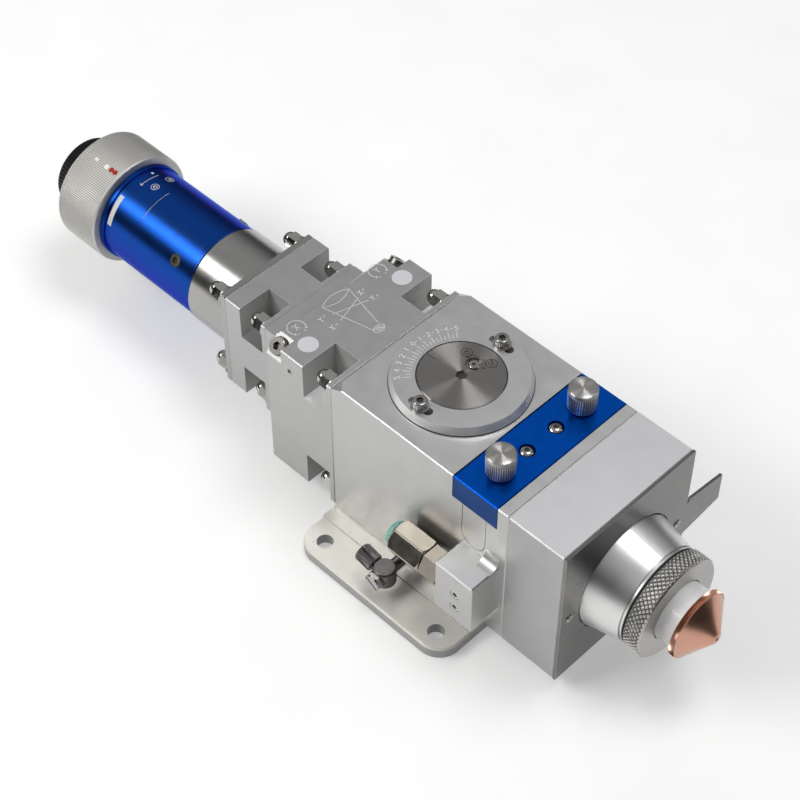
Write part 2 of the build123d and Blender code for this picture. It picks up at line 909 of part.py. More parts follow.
# Round-head screws that join the cover and the tray
with BuildPart() as cover_screw:
    with BuildSketch(Plane.XZ):
        with BuildLine():
            Polyline((0, 0), (0, -cover_screw_l), (cover_screw_r, -cover_screw_l), (cover_screw_r, 0))
            Polyline((cover_screw_r, 0), (cover_head_r, 0), (cover_head_r, cover_head_side))
            RadiusArc(
                (cover_head_r, cover_head_side),
                (cover_head_flat_r, cover_head_h),
                -cover_dome_r,
            )
            Polyline((cover_head_flat_r, cover_head_h), (0, cover_head_h), (0, 0))
        make_face()
    revolve(axis=Axis.Z)
    with BuildSketch(Plane.XY.offset(cover_head_h)):
        RegularPolygon(radius=cover_hex_af / 2, side_count=6, major_radius=False)
    extrude(amount=-cover_head_h / 2, mode=Mode.SUBTRACT)
with BuildPart() as cover_screws:
    with Locations(Plane.XY.offset(body_z1 - cover_pocket_depth)):
        with Locations(cover_screw_places):
            add(cover_screw.part)
cover_screws.part.label = "cover_screws"
export_step(cover_screws.part, "parts/cover_screws.step")

# Thumb screws with long shanks into the body
knob_z0 = body_z1 + knob_lift
with BuildPart() as thumb_screw:
    with BuildSketch(Plane.XZ):
        with BuildLine():
            Polyline(
                (0, knob_hole_z),
                (knob_shank_r, knob_hole_z),
                (knob_shank_r, knob_z0),
                (knob_r - knob_edge, knob_z0),
                (knob_r, knob_z0 + knob_edge),
                (knob_r, knob_z0 + knob_h - knob_edge),
                (knob_r - knob_edge, knob_z0 + knob_h),
                (0, knob_z0 + knob_h),
                close=True,
            )
        make_face()
    revolve(axis=Axis.Z)
with BuildPart() as thumb_screw_left:
    with Locations((drawer_x, -knob_y, 0)):
        add(thumb_screw.part)
thumb_screw_left.part.label = "thumb_screw_left"
export_step(thumb_screw_left.part, "parts/thumb_screw_left.step")
with BuildPart() as thumb_screw_right:
    with Locations((drawer_x, knob_y, 0)):
        add(thumb_screw.part)
thumb_screw_right.part.label = "thumb_screw_right"
export_step(thumb_screw_right.part, "parts/thumb_screw_right.step")

# Front block of the body
block_pocket = block_screw_head_h + 2 * seat_gap
with BuildPart() as nozzle_block:
    with BuildSketch(Plane.XY.offset(body_z0)):
        with Locations((seam_x + nozzle_block_l / 2, 0)):
            Rectangle(nozzle_block_l, body_w)
    extrude(amount=body_h)
    chamfer(nozzle_block.edges(), length=edge_break)
    with Locations(across(nose_x)):
        CounterBoreHole(
            radius=front_bore_r,
            counter_bore_radius=spigot_r + fit_gap,
            counter_bore_depth=spigot_l + seat_gap,
        )
        with GridLocations(2 * block_screw_y, 2 * block_screw_z, 2, 2):
            CounterBoreHole(
                radius=block_screw_r + thread_gap,
                counter_bore_radius=block_screw_head_r + slide_gap,
                counter_bore_depth=block_pocket,
            )
        with GridLocations(2 * face_screw_y, 1, 2, 1):
            Hole(radius=face_screw_r + thread_gap, depth=face_screw_l)
nozzle_block.part.label = "nozzle_block"
export_step(nozzle_block.part, "parts/nozzle_block.step")

# Cap screws of the front block
with BuildPart() as block_screws:
    with Locations(across(nose_x - block_pocket)):
        with GridLocations(2 * block_screw_y, 2 * block_screw_z, 2, 2):
            add(
                cap_screw(
                    block_screw_r,
                    nozzle_block_l - block_pocket + block_screw_grip,
                    block_screw_head_r,
                    block_screw_head_h,
                    block_hex_af,
                )
            )
block_screws.part.label = "block_screws"
export_step(block_screws.part, "parts/block_screws.step")

# Thin front plate with its pointer tab
with BuildPart() as front_plate:
    with BuildSketch(across(nose_x)):
        with Locations((0, body_z0 + body_h / 2 - beam_z)):
            Rectangle(body_w, body_h)
        Circle(cone_base_r + turn_gap, mode=Mode.SUBTRACT)
    extrude(amount=front_plate_t)
    with BuildSketch(across(nose_x)) as tab:
        with BuildLine():
            Polyline(
                (half_w, tab_root_low - beam_z),
                (tab_tip_y, tab_tip_low - beam_z),
                (tab_tip_y, tab_tip_high - beam_z),
                (half_w, tab_root_high - beam_z),
                close=True,
            )
        make_face()
        fillet(tab.vertices().group_by(Axis.Y)[-1], radius=tab_round)
    extrude(amount=front_plate_t)
    with Locations(across(front_x)):
        with GridLocations(2 * face_screw_y, 1, 2, 1):
            Hole(radius=face_screw_r + thread_gap)
front_plate.part.label = "front_plate"
export_step(front_plate.part, "parts/front_plate.step")

# Small screws of the front plate
with BuildPart() as face_screws:
    with Locations(across(front_x)):
        with GridLocations(2 * face_screw_y, 1, 2, 1):
            add(cap_screw(face_screw_r, face_screw_l, face_screw_head_r, face_screw_head_h, face_hex_af))
face_screws.part.label = "face_screws"
export_step(face_screws.part, "parts/face_screws.step")

# Sensor cone with spigot, groove, band and threaded neck
with BuildPart() as sensor_cone:
    with BuildSketch(beam):
        with BuildLine():
            Polyline(
                (nose_x - spigot_l, cone_bore_r),
                (nose_x - spigot_l, spigot_r),
                (nose_x, spigot_r),
                (nose_x, cone_base_r),
                (cone_front, cone_tip_r),
                (cone_front, cone_groove_r),
                (cone_front + cone_groove_w, cone_groove_r),
                (cone_front + cone_groove_w, cone_band_r),
                (cone_front + cone_groove_w + cone_band_w, cone_band_r),
                (cone_front + cone_groove_w + cone_band_w, cone_neck_r),
                (neck_front, cone_neck_r),
                (neck_front, cone_bore_r),
                close=True,
            )
        make_face()
    revolve(axis=beam_axis)
    with BuildSketch(across(neck_front)):
        Circle(seal_r + seal_wire_r + seat_gap)
        Circle(seal_r - seal_wire_r - seat_gap, mode=Mode.SUBTRACT)
    extrude(amount=-2 * seal_wire_r, mode=Mode.SUBTRACT)
sensor_cone.part.label = "sensor_cone"
export_step(sensor_cone.part, "parts/sensor_cone.step")

# Seal in front of the neck
seal_x = neck_front + seat_gap / 2 - seal_wire_r
with BuildPart() as ceramic_seal:
    with BuildSketch(beam):
        with Locations((seal_x, seal_r)):
            Circle(seal_wire_r)
    revolve(axis=beam_axis)
ceramic_seal.part.label = "ceramic_seal"
export_step(ceramic_seal.part, "parts/ceramic_seal.step")

# Ring nut around the ceramic
with BuildPart() as nozzle_lock_ring:
    with BuildSketch(beam):
        with BuildLine():
            Polyline(
                (lock_x0, cone_neck_r + thread_gap),
                (lock_x0, lock_r - lock_edge),
                (lock_x0 + lock_edge, lock_r),
                (lock_x1 - lock_edge, lock_r),
                (lock_x1, lock_r - lock_edge),
                (lock_x1, ceramic_r + turn_gap),
                (lock_x1 - lock_wall, ceramic_r + turn_gap),
                (lock_x1 - lock_wall, cone_neck_r + thread_gap),
                close=True,
            )
        make_face()
    revolve(axis=beam_axis)
nozzle_lock_ring.part.label = "nozzle_lock_ring"
export_step(nozzle_lock_ring.part, "parts/nozzle_lock_ring.step")

# Ceramic body
with BuildPart() as ceramic_body:
    with BuildSketch(beam):
        with BuildLine():
            Polyline(
                (collar_x0, ceramic_bore_r),
                (collar_x0, ceramic_collar_r),
                (collar_x1, ceramic_collar_r),
                (collar_x1, ceramic_r),
                (ceramic_x1, ceramic_r),
                (ceramic_x1, ceramic_bore_r),
                close=True,
            )
        make_face()
    revolve(axis=beam_axis)
ceramic_body.part.label = "ceramic_body"
export_step(ceramic_body.part, "parts/ceramic_body.step")

# Copper nozzle with its stem and orifice
stem_r = ceramic_bore_r - thread_gap
with BuildPart() as copper_nozzle:
    with BuildSketch(beam):
        with BuildLine():
            Polyline(
                (nozzle_x0 - nozzle_stem_l, nozzle_cavity_r),
                (nozzle_x0 - nozzle_stem_l, stem_r),
                (nozzle_x0, stem_r),
                (nozzle_x0, nozzle_r),
                (nozzle_x0 + nozzle_rim_t, nozzle_r),
                (nozzle_x1, nozzle_tip_r),
                (nozzle_x1, orifice_r),
                (nozzle_x1 - orifice_l, orifice_r),
                (nozzle_x0, nozzle_cavity_r),
                close=True,
            )
        make_face()
    revolve(axis=beam_axis)
copper_nozzle.part.label = "copper_nozzle"
export_step(copper_nozzle.part, "parts/copper_nozzle.step")

# Lens centring: places along the two diagonals
screw_x = adjuster_x + corner_flat_l / 2
flat_r = sqrt(2) * (half_w - corner_flat / 2)
tip_r = cell_r + centring_travel + centring_play


def diagonal(angle):
    z_dir = (0, sin(radians(angle)), cos(radians(angle)))
    return Plane(origin=(screw_x, 0, beam_z), x_dir=(1, 0, 0), z_dir=z_dir)


# Adjuster block with its rear boss, corner flats and corner notches
pocket_depth = centring_head_l - centring_stand + turn_gap
key_slot_w = key_w + 2 * slide_gap
key_slot_depth = key_h + slide_gap
with BuildPart() as adjuster_block:
    with BuildSketch(Plane.XY.offset(adjuster_z0)):
        with Locations((adjuster_x + adjuster_l / 2, 0)):
            Rectangle(adjuster_l, body_w)
    extrude(amount=adjuster_h)
    chamfer(adjuster_block.edges().group_by(Axis.X)[-1], length=edge_break)
    chamfer(adjuster_block.edges().filter_by(Axis.X), length=edge_break)
    top_edges = adjuster_block.edges().filter_by(Axis.Y).group_by(Axis.Z)[-1]
    chamfer(top_edges.group_by(Axis.X)[0], length=rear_bevel)
    # Notches for the cap nuts
    with BuildSketch(across(body_x0 - flange_t)):
        with Locations((0, adjuster_mid_z - beam_z)):
            with GridLocations(body_w - notch, adjuster_h - notch_depth_z, 2, 2):
                Rectangle(notch, notch_depth_z)
    extrude(amount=-notch_l, mode=Mode.SUBTRACT)
    # Flats across the two top rear corners
    with BuildSketch(across(adjuster_x)):
        with Locations((half_w, adjuster_top_z - beam_z), (-half_w, adjuster_top_z - beam_z)):
            Rectangle(sqrt(2) * corner_flat, sqrt(2) * corner_flat, rotation=45)
    extrude(amount=corner_flat_l, mode=Mode.SUBTRACT)
    # Small blind hole in the left side
    dimple_place = (adjuster_x + dimple_back, -half_w, adjuster_top_z - dimple_drop)
    with Locations(Plane(origin=dimple_place, x_dir=(1, 0, 0), z_dir=(0, -1, 0))):
        Hole(radius=dimple_r, depth=dimple_depth)
    # Boss behind the block
    with BuildSketch(across(boss_x)):
        with Locations((0, rear_mid_z - beam_z)):
            Rectangle(rear_w, rear_h)
    extrude(amount=boss_l)
    # Room for the lens cell and the light path
    with Locations(Plane(origin=(boss_x, 0, beam_z), x_dir=(0, 1, 0), z_dir=(-1, 0, 0))):
        CounterBoreHole(
            radius=adjuster_bore_r,
            counter_bore_radius=cell_room_r,
            counter_bore_depth=cell_room_l,
        )
        with Locations((0, beam_z - rear_mid_z)):
            with GridLocations(2 * rear_stud_y, 2 * rear_stud_z, 2, 2):
                Hole(radius=stud_r + thread_gap, depth=rear_stud_bite + hole_past)
    # Key way of the cross slide
    with BuildSketch(across(cell_room_x1)):
        Rectangle(2 * (slide_r + turn_gap), key_slot_w, rotation=45)
    extrude(amount=key_slot_depth - turn_gap, mode=Mode.SUBTRACT)
    # Holes of the front flange
    with Locations(across(body_x0)):
        with Locations((0, adjuster_mid_z - beam_z)):
            with GridLocations(2 * front_stud_y, 2 * front_stud_z, 2, 2):
                Hole(radius=stud_r + seat_gap, depth=flange_t)
    # Holes of the centring screws
    with Locations(diagonal(45), diagonal(-45)):
        with Locations((0, 0, flat_r)):
            CounterBoreHole(
                radius=centring_shank_r + thread_gap,
                counter_bore_radius=centring_pocket_r,
                counter_bore_depth=pocket_depth,
                depth=flat_r - tip_r,
            )
    # Pockets of the return plungers
    for angle in (135, -135):
        with BuildSketch(diagonal(angle)):
            Circle(plunger_r + fit_gap)
        extrude(amount=tip_r + plunger_l + seat_gap, mode=Mode.SUBTRACT)
    # Recesses of the sight plugs
    with Locations((sight_x, sight_y, adjuster_top_z), (sight_x, -sight_y, adjuster_top_z)):
        Hole(radius=sight_r + fit_gap, depth=sight_t + seat_gap)
adjuster_block.part.label = "adjuster_block"
export_step(adjuster_block.part, "parts/adjuster_block.step")

# White plugs over the centring screws' marks
with BuildPart() as sight_plugs:
    with BuildSketch(Plane.XY.offset(adjuster_top_z - sight_t)):
        with Locations((sight_x, sight_y), (sight_x, -sight_y)):
            Circle(sight_r)
    extrude(amount=sight_t)
sight_plugs.part.label = "sight_plugs"
export_step(sight_plugs.part, "parts/sight_plugs.step")

# Cross slide with a key in front and a key way behind
with BuildPart() as cross_slide:
    with BuildSketch(across(slide_x0)):
        Circle(slide_r)
    extrude(amount=slide_t)
    with BuildSketch(across(slide_x1)):
        Rectangle(2 * (slide_r - key_end), key_w, rotation=45)
    extrude(amount=key_h)
    with BuildSketch(across(slide_x0)):
        Rectangle(2 * slide_r, key_slot_w, rotation=-45)
    extrude(amount=key_slot_depth, mode=Mode.SUBTRACT)
    with Locations(across(slide_x1 + key_h)):
        Hole(radius=adjuster_bore_r)
cross_slide.part.label = "cross_slide"
export_step(cross_slide.part, "parts/cross_slide.step")

# Lens cell with its key
with BuildPart() as collimator_cell:
    with BuildSketch(across(cell_x0)):
        Circle(cell_r)
    extrude(amount=cell_l)
    with BuildSketch(across(cell_x1)):
        Rectangle(2 * (cell_r - key_end), key_w, rotation=-45)
    extrude(amount=key_h)
    with Locations(Plane(origin=(cell_x0, 0, beam_z), x_dir=(0, 1, 0), z_dir=(-1, 0, 0))):
        CounterBoreHole(
            radius=cell_bore_r,
            counter_bore_radius=cell_lens_r + fit_gap,
            counter_bore_depth=cell_lens_t + cell_ring_t + seat_gap,
        )
collimator_cell.part.label = "collimator_cell"
export_step(collimator_cell.part, "parts/collimator_cell.step")

# Collimating lens, flat at the front and curved at the back
cell_lens_x0 = cell_x0 + cell_ring_t
with BuildPart() as collimating_lens:
    with BuildSketch(across(cell_lens_x0)):
        Circle(cell_lens_r)
    extrude(amount=cell_lens_t)
    with Locations((cell_lens_x0 + cell_curve, 0, beam_z)):
        Sphere(radius=cell_curve, mode=Mode.INTERSECT)
collimating_lens.part.label = "collimating_lens"
export_step(collimating_lens.part, "parts/collimating_lens.step")

# Threaded ring that holds the collimating lens
cell_ring_x1 = cell_lens_x0 + lens_drop(cell_ring_r, cell_curve) - seat_gap
with BuildPart() as collimator_lens_ring:
    with BuildSketch(across(cell_x0)):
        Circle(cell_lens_r)
        Circle(cell_ring_r, mode=Mode.SUBTRACT)
    extrude(amount=cell_ring_x1 - cell_x0)
    with BuildSketch(across(cell_x0)):
        Rectangle(2 * cell_lens_r, spanner_w)
    extrude(amount=spanner_depth, mode=Mode.SUBTRACT)
collimator_lens_ring.part.label = "collimator_lens_ring"
export_step(collimator_lens_ring.part, "parts/collimator_lens_ring.step")

# Centring screws in the corner flats
under_head_r = flat_r + centring_stand - centring_head_l
centring_screw = cap_screw(
    centring_shank_r,
    under_head_r - tip_r,
    centring_head_r,
    centring_head_l,
    centring_hex_af,
)
with BuildPart() as centring_screw_left:
    with Locations(diagonal(-45)):
        with Locations((0, 0, under_head_r)):
            add(centring_screw)
centring_screw_left.part.label = "centring_screw_left"
export_step(centring_screw_left.part, "parts/centring_screw_left.step")
with BuildPart() as centring_screw_right:
    with Locations(diagonal(45)):
        with Locations((0, 0, under_head_r)):
            add(centring_screw)
centring_screw_right.part.label = "centring_screw_right"
export_step(centring_screw_right.part, "parts/centring_screw_right.step")

# Sprung plungers opposite the centring screws
with BuildPart() as return_plungers:
    with Locations(diagonal(135), diagonal(-135)):
        with Locations((0, 0, tip_r)):
            Cylinder(radius=plunger_r, height=plunger_l, align=(Align.CENTER, Align.CENTER, Align.MIN))
return_plungers.part.label = "return_plungers"
export_step(return_plungers.part, "parts/return_plungers.step")

# Rear block with its four notches
with BuildPart() as rear_block:
    with BuildSketch(across(rear_x)):
        with Locations((0, rear_mid_z - beam_z)):
            Rectangle(rear_w, rear_h)
    extrude(amount=rear_block_l)
    chamfer(rear_block.edges(), length=edge_break)
    with BuildSketch(across(boss_x - flange_t)):
        with Locations((0, rear_mid_z - beam_z)):
            with GridLocations(rear_w / 2 + rear_notch_y, rear_h - rear_notch_z, 2, 2):
                Rectangle(rear_w / 2 - rear_notch_y, rear_notch_z)
    extrude(amount=-rear_notch_l, mode=Mode.SUBTRACT)
    with Locations(across(boss_x)):
        Hole(radius=rear_bore_r)
        with Locations((0, rear_mid_z - beam_z)):
            with GridLocations(2 * rear_stud_y, 2 * rear_stud_z, 2, 2):
                Hole(radius=stud_r + seat_gap, depth=flange_t)
    with Locations(Plane(origin=(rear_x, 0, rear_mid_z), x_dir=(0, 1, 0), z_dir=(-1, 0, 0))):
        with GridLocations(2 * rear_stud_y, 2 * rear_stud_z, 2, 2):
            Hole(radius=stud_r + thread_gap, depth=rear_stud_bite + hole_past)
rear_block.part.label = "rear_block"
export_step(rear_block.part, "parts/rear_block.step")

# Tube with its square flange
with BuildPart() as collimator_tube:
    with BuildSketch(across(flange_x)):
        with Locations((0, rear_mid_z - beam_z)):
            Rectangle(rear_w, rear_h)
    extrude(amount=tube_flange_t)
    chamfer(collimator_tube.edges(), length=edge_break)
    with BuildSketch(across(tube_x)):
        Circle(tube_r)
    extrude(amount=tube_l)
    chamfer(collimator_tube.edges().group_by(Axis.X)[0], length=tube_edge)
    with Locations(Plane(origin=(tube_x, 0, beam_z), x_dir=(0, 1, 0), z_dir=(-1, 0, 0))):
        CounterBoreHole(
            radius=tube_bore_r,
            counter_bore_radius=barrel_spigot_r + fit_gap,
            counter_bore_depth=barrel_spigot_l + seat_gap,
        )
    with Locations(Plane(origin=(rear_x, 0, rear_mid_z), x_dir=(0, 1, 0), z_dir=(1, 0, 0))):
        with GridLocations(2 * rear_stud_y, 2 * rear_stud_z, 2, 2):
            Hole(radius=stud_r + seat_gap, depth=tube_flange_t)
collimator_tube.part.label = "collimator_tube"
export_step(collimator_tube.part, "parts/collimator_tube.step")

# Barrel of the collimator
receiver_x1 = barrel_x + receiver_front_l
with BuildPart() as collimator_barrel:
    with BuildSketch(beam):
        with BuildLine():
            Polyline(
                (barrel_x, receiver_r + fit_gap),
                (barrel_x, barrel_rim_r),
                (barrel_x + barrel_rim_l, barrel_rim_r),
                (barrel_x + barrel_rim_l, barrel_r),
                (tube_x - barrel_nose_l, barrel_r),
                (tube_x - barrel_nose_l, barrel_nose_r),
                (tube_x, barrel_nose_r),
                (tube_x, barrel_spigot_r),
                (tube_x + barrel_spigot_l, barrel_spigot_r),
                (tube_x + barrel_spigot_l, barrel_bore_r),
                (receiver_x1 + seat_gap, barrel_bore_r),
                (receiver_x1 + seat_gap, receiver_r + fit_gap),
                close=True,
            )
        make_face()
    revolve(axis=beam_axis)
    for i in range(set_screw_count):
        turn = radians(set_screw_first + 360 * i / set_screw_count)
        with BuildSketch(
            Plane(
                origin=(set_screw_x, 0, beam_z),
                x_dir=(1, 0, 0),
                z_dir=(0, sin(turn), cos(turn)),
            ).offset(barrel_r + set_screw_stand - set_screw_l - seat_gap)
        ):
            Circle(set_screw_r + thread_gap)
        extrude(amount=set_screw_l + hole_past, mode=Mode.SUBTRACT)
collimator_barrel.part.label = "collimator_barrel"
export_step(collimator_barrel.part, "parts/collimator_barrel.step")

# Set screws in the barrel
with BuildPart() as barrel_set_screws:
    for i in range(set_screw_count):
        turn = radians(set_screw_first + 360 * i / set_screw_count)
        screw_plane = Plane(
            origin=(set_screw_x, 0, beam_z),
            x_dir=(1, 0, 0),
            z_dir=(0, sin(turn), cos(turn)),
        ).offset(barrel_r + set_screw_stand)
        with BuildSketch(screw_plane):
            Circle(set_screw_r)
        extrude(amount=-set_screw_l)
        with BuildSketch(screw_plane):
            RegularPolygon(radius=set_screw_af / 2, side_count=6, major_radius=False)
        extrude(amount=-set_screw_hex_depth, mode=Mode.SUBTRACT)
barrel_set_screws.part.label = "barrel_set_screws"
export_step(barrel_set_screws.part, "parts/barrel_set_screws.step")

# Fibre receiver with its socket
neck_x = ring_x - receiver_neck_l
with BuildPart() as fibre_receiver:
    with BuildSketch(beam):
        with BuildLine():
            Polyline(
                (neck_x, socket_r),
                (neck_x, receiver_neck_r),
                (ring_x, receiver_neck_r),
                (ring_x, receiver_r),
                (receiver_x1, receiver_r),
                (receiver_x1, receiver_bore_r),
                (neck_x + socket_l, receiver_bore_r),
                (neck_x + socket_l, socket_r),
                close=True,
            )
        make_face()
    revolve(axis=beam_axis)
fibre_receiver.part.label = "fibre_receiver"
export_step(fibre_receiver.part, "parts/fibre_receiver.step")

# Lock ring around the receiver
with BuildPart() as fibre_lock_ring:
    with BuildSketch(beam):
        with BuildLine():
            Polyline(
                (ring_x, receiver_r + turn_gap),
                (ring_x, fibre_ring_r - fibre_ring_edge),
                (ring_x + fibre_ring_edge, fibre_ring_r),
                (barrel_x - turn_gap - fibre_ring_edge, fibre_ring_r),
                (barrel_x - turn_gap, fibre_ring_r - fibre_ring_edge),
                (barrel_x - turn_gap, receiver_r + turn_gap),
                close=True,
            )
        make_face()
    revolve(axis=beam_axis)
fibre_lock_ring.part.label = "fibre_lock_ring"
export_step(fibre_lock_ring.part, "parts/fibre_lock_ring.step")

# Dust cap over the socket
cap_x1 = ring_x - turn_gap
with BuildPart() as dust_cap:
    with BuildSketch(beam):
        with BuildLine():
            Polyline(
                (cap_x1, cap_r - cap_wall),
                (cap_x1, cap_rim_r),
                (cap_x1 - cap_rim_l, cap_rim_r),
                (cap_x1 - cap_rim_l, cap_r),
                (cap_x1 - cap_l, cap_r),
                (cap_x1 - cap_l, 0),
                (cap_x1 - cap_l + cap_end_t, 0),
                (cap_x1 - cap_l + cap_end_t, cap_r - cap_wall),
                close=True,
            )
        make_face()
    revolve(axis=beam_axis)
    chamfer(dust_cap.edges().group_by(Axis.X)[0], length=cap_edge)
dust_cap.part.label = "dust_cap"
export_step(dust_cap.part, "parts/dust_cap.step")

# Places of the three groups of studs: face, middle height, half steps, length in the wall
stud_groups = [
    (body_x0 - flange_t, adjuster_mid_z, front_stud_y, front_stud_z, stud_bite + flange_t),
    (boss_x - flange_t, rear_mid_z, rear_stud_y, rear_stud_z, rear_stud_bite + flange_t),
    (flange_x, rear_mid_z, rear_stud_y, rear_stud_z, rear_stud_bite + tube_flange_t),
]
stud_end = stud_washer_t + nut_l - nut_wall - seat_gap

# Studs of the three flanges
with BuildPart() as flange_studs:
    for face_x, mid_z, half_y, half_z, wall in stud_groups:
        with BuildSketch(stud_face(face_x + wall, mid_z)):
            with GridLocations(2 * half_y, 2 * half_z, 2, 2):
                Circle(stud_r)
        extrude(amount=wall + stud_end)
flange_studs.part.label = "flange_studs"
export_step(flange_studs.part, "parts/flange_studs.step")

# Washers under the cap nuts
with BuildPart() as flange_washers:
    for face_x, mid_z, half_y, half_z, wall in stud_groups:
        with BuildSketch(stud_face(face_x, mid_z)):
            with GridLocations(2 * half_y, 2 * half_z, 2, 2):
                Circle(stud_washer_r)
                Circle(stud_r + seat_gap, mode=Mode.SUBTRACT)
        extrude(amount=stud_washer_t)
flange_washers.part.label = "flange_washers"
export_step(flange_washers.part, "parts/flange_washers.step")

# Cap nut: a hexagon with a dome
with BuildPart() as cap_nut:
    with BuildSketch(Plane.XY):
        RegularPolygon(radius=nut_af / 2, side_count=6, major_radius=False)
    extrude(amount=nut_hex_l)
    with BuildSketch(Plane.XZ):
        with BuildLine():
            Polyline(
                (0, 0),
                (nut_face_r, 0),
                (nut_af, nut_bevel),
                (nut_af, nut_hex_l - nut_bevel),
                (nut_face_r, nut_hex_l),
                (0, nut_hex_l),
                close=True,
            )
        make_face()
    revolve(axis=Axis.Z, mode=Mode.INTERSECT)
    with BuildSketch(Plane.XZ):
        with BuildLine():
            Polyline(
                (0, nut_l),
                (0, nut_hex_l / 2),
                (nut_dome_r, nut_hex_l / 2),
                (nut_dome_r, nut_l - nut_dome_r),
            )
            ThreePointArc(
                (nut_dome_r, nut_l - nut_dome_r),
                (nut_dome_r * cos(pi / 4), nut_l - nut_dome_r * (1 - sin(pi / 4))),
                (0, nut_l),
            )
        make_face()
    revolve(axis=Axis.Z)
    with BuildSketch(Plane.XY):
        Circle(stud_r + thread_gap)
    extrude(amount=nut_l - nut_wall, mode=Mode.SUBTRACT)

# Cap nuts on all studs
with BuildPart() as flange_nuts:
    for face_x, mid_z, half_y, half_z, wall in stud_groups:
        with Locations(stud_face(face_x - stud_washer_t, mid_z)):
            with GridLocations(2 * half_y, 2 * half_z, 2, 2):
                add(cap_nut.part)
flange_nuts.part.label = "flange_nuts"
export_step(flange_nuts.part, "parts/flange_nuts.step")

# Gas block on the left side with its concave web
gas_x1 = gas_x + gas_l
gas_face_y = -half_w - gas_w
gas_z1 = gas_z + gas_h
left_face = Plane(origin=(0, gas_face_y, 0), x_dir=(1, 0, 0), z_dir=(0, -1, 0))
body_side = Plane(origin=(gas_x1 - 2 * passage_r, -half_w, port_z), x_dir=(1, 0, 0), z_dir=(0, 1, 0))
web_x0 = slot_x1 + slide_gap
fillet_mid = gas_fillet_r * (1 - cos(pi / 4))
with BuildPart() as gas_block:
    with BuildSketch(Plane.XY.offset(gas_z)):
        with Locations((gas_x + gas_l / 2, -half_w - gas_w / 2)):
            Rectangle(gas_l, gas_w)
    extrude(amount=gas_h)
    chamfer(gas_block.edges().group_by(Axis.Y)[0], length=gas_edge)
    chamfer(gas_block.edges().filter_by(Axis.Y), length=gas_edge)
    with BuildSketch(across(web_x0)):
        with BuildLine():
            Polyline(
                (-half_w - gas_fillet_r, gas_z1 - beam_z),
                (-half_w, gas_z1 - beam_z),
                (-half_w, gas_z1 + gas_fillet_r - beam_z),
            )
            ThreePointArc(
                (-half_w, gas_z1 + gas_fillet_r - beam_z),
                (-half_w - fillet_mid, gas_z1 + fillet_mid - beam_z),
                (-half_w - gas_fillet_r, gas_z1 - beam_z),
            )
        make_face()
    extrude(amount=gas_x1 - web_x0)
    # Port for the fitting and the passage to the light path
    with Locations(gas_plane(gas_x)):
        CounterBoreHole(
            radius=passage_r,
            counter_bore_radius=port_r + thread_gap,
            counter_bore_depth=port_depth,
            depth=gas_l - passage_r,
        )
    with Locations(body_side):
        Hole(radius=passage_r, depth=port_y - half_w)
    with Locations(left_face):
        with Locations(gas_screw_places):
            CounterBoreHole(
                radius=gas_screw_r + thread_gap,
                counter_bore_radius=gas_screw_head_r + fit_gap,
                counter_bore_depth=gas_screw_head_h + seat_gap,
            )
gas_block.part.label = "gas_block"
export_step(gas_block.part, "parts/gas_block.step")

# Screws of the gas block
gas_shank_l = gas_w - gas_screw_head_h - seat_gap + gas_screw_bite
gas_screw = cap_screw(gas_screw_r, gas_shank_l, gas_screw_head_r, gas_screw_head_h, gas_screw_hex_af)
with BuildPart() as gas_block_screws:
    with Locations(left_face.offset(-gas_screw_head_h - seat_gap)):
        with Locations(gas_screw_places):
            add(gas_screw)
gas_block_screws.part.label = "gas_block_screws"
export_step(gas_block_screws.part, "parts/gas_block_screws.step")

# Gas fitting with its hexagon and threaded tail
tail_x = gas_x - fitting_hex_l - fitting_tail_l
with BuildPart() as gas_fitting:
    with BuildSketch(gas_plane(gas_x)):
        RegularPolygon(radius=fitting_af / 2, side_count=6, major_radius=False)
    extrude(amount=fitting_hex_l)
    with BuildSketch(gas_plane(gas_x)):
        Circle(port_r)
    extrude(amount=hole_past - port_depth)
    with BuildSketch(gas_plane(gas_x - fitting_hex_l)):
        Circle(fitting_neck_r)
    extrude(amount=fitting_tail_l)
    with Locations(gas_plane(tail_x)):
        CounterBoreHole(
            radius=passage_r,
            counter_bore_radius=tube_hole_r,
            counter_bore_depth=tube_hole_l,
        )
gas_fitting.part.label = "gas_fitting"
export_step(gas_fitting.part, "parts/gas_fitting.step")

# Union nut with a domed end
gas_nut_x1 = gas_x - fitting_hex_l - gas_nut_gap
gas_nut_x0 = gas_nut_x1 - gas_nut_l
with BuildPart() as gas_nut:
    with BuildSketch(gas_plane(gas_nut_x1)):
        RegularPolygon(radius=gas_nut_af / 2, side_count=6, major_radius=False, rotation=gas_nut_turn)
    extrude(amount=gas_nut_l)
    gas_line = Plane(origin=(gas_nut_x1, -port_y, port_z), x_dir=(-1, 0, 0), z_dir=(0, 1, 0))
    with BuildSketch(gas_line):
        with BuildLine():
            Polyline(
                (0, 0),
                (0, gas_nut_r - gas_nut_edge),
                (gas_nut_edge, gas_nut_r),
                (gas_nut_l - gas_nut_dome, gas_nut_r),
                (gas_nut_l, gas_nut_r - gas_nut_dome),
                (gas_nut_l, 0),
                close=True,
            )
        make_face()
    revolve(axis=Axis((0, -port_y, port_z), (1, 0, 0)), mode=Mode.INTERSECT)
    with Locations(gas_plane(gas_nut_x0)):
        Hole(radius=gas_seal_hole_r)
    with BuildSketch(gas_plane(gas_nut_x1)):
        Circle(fitting_neck_r + thread_gap)
    extrude(amount=fitting_tail_l - gas_nut_gap + seat_gap, mode=Mode.SUBTRACT)
gas_nut.part.label = "gas_nut"
export_step(gas_nut.part, "parts/gas_nut.step")

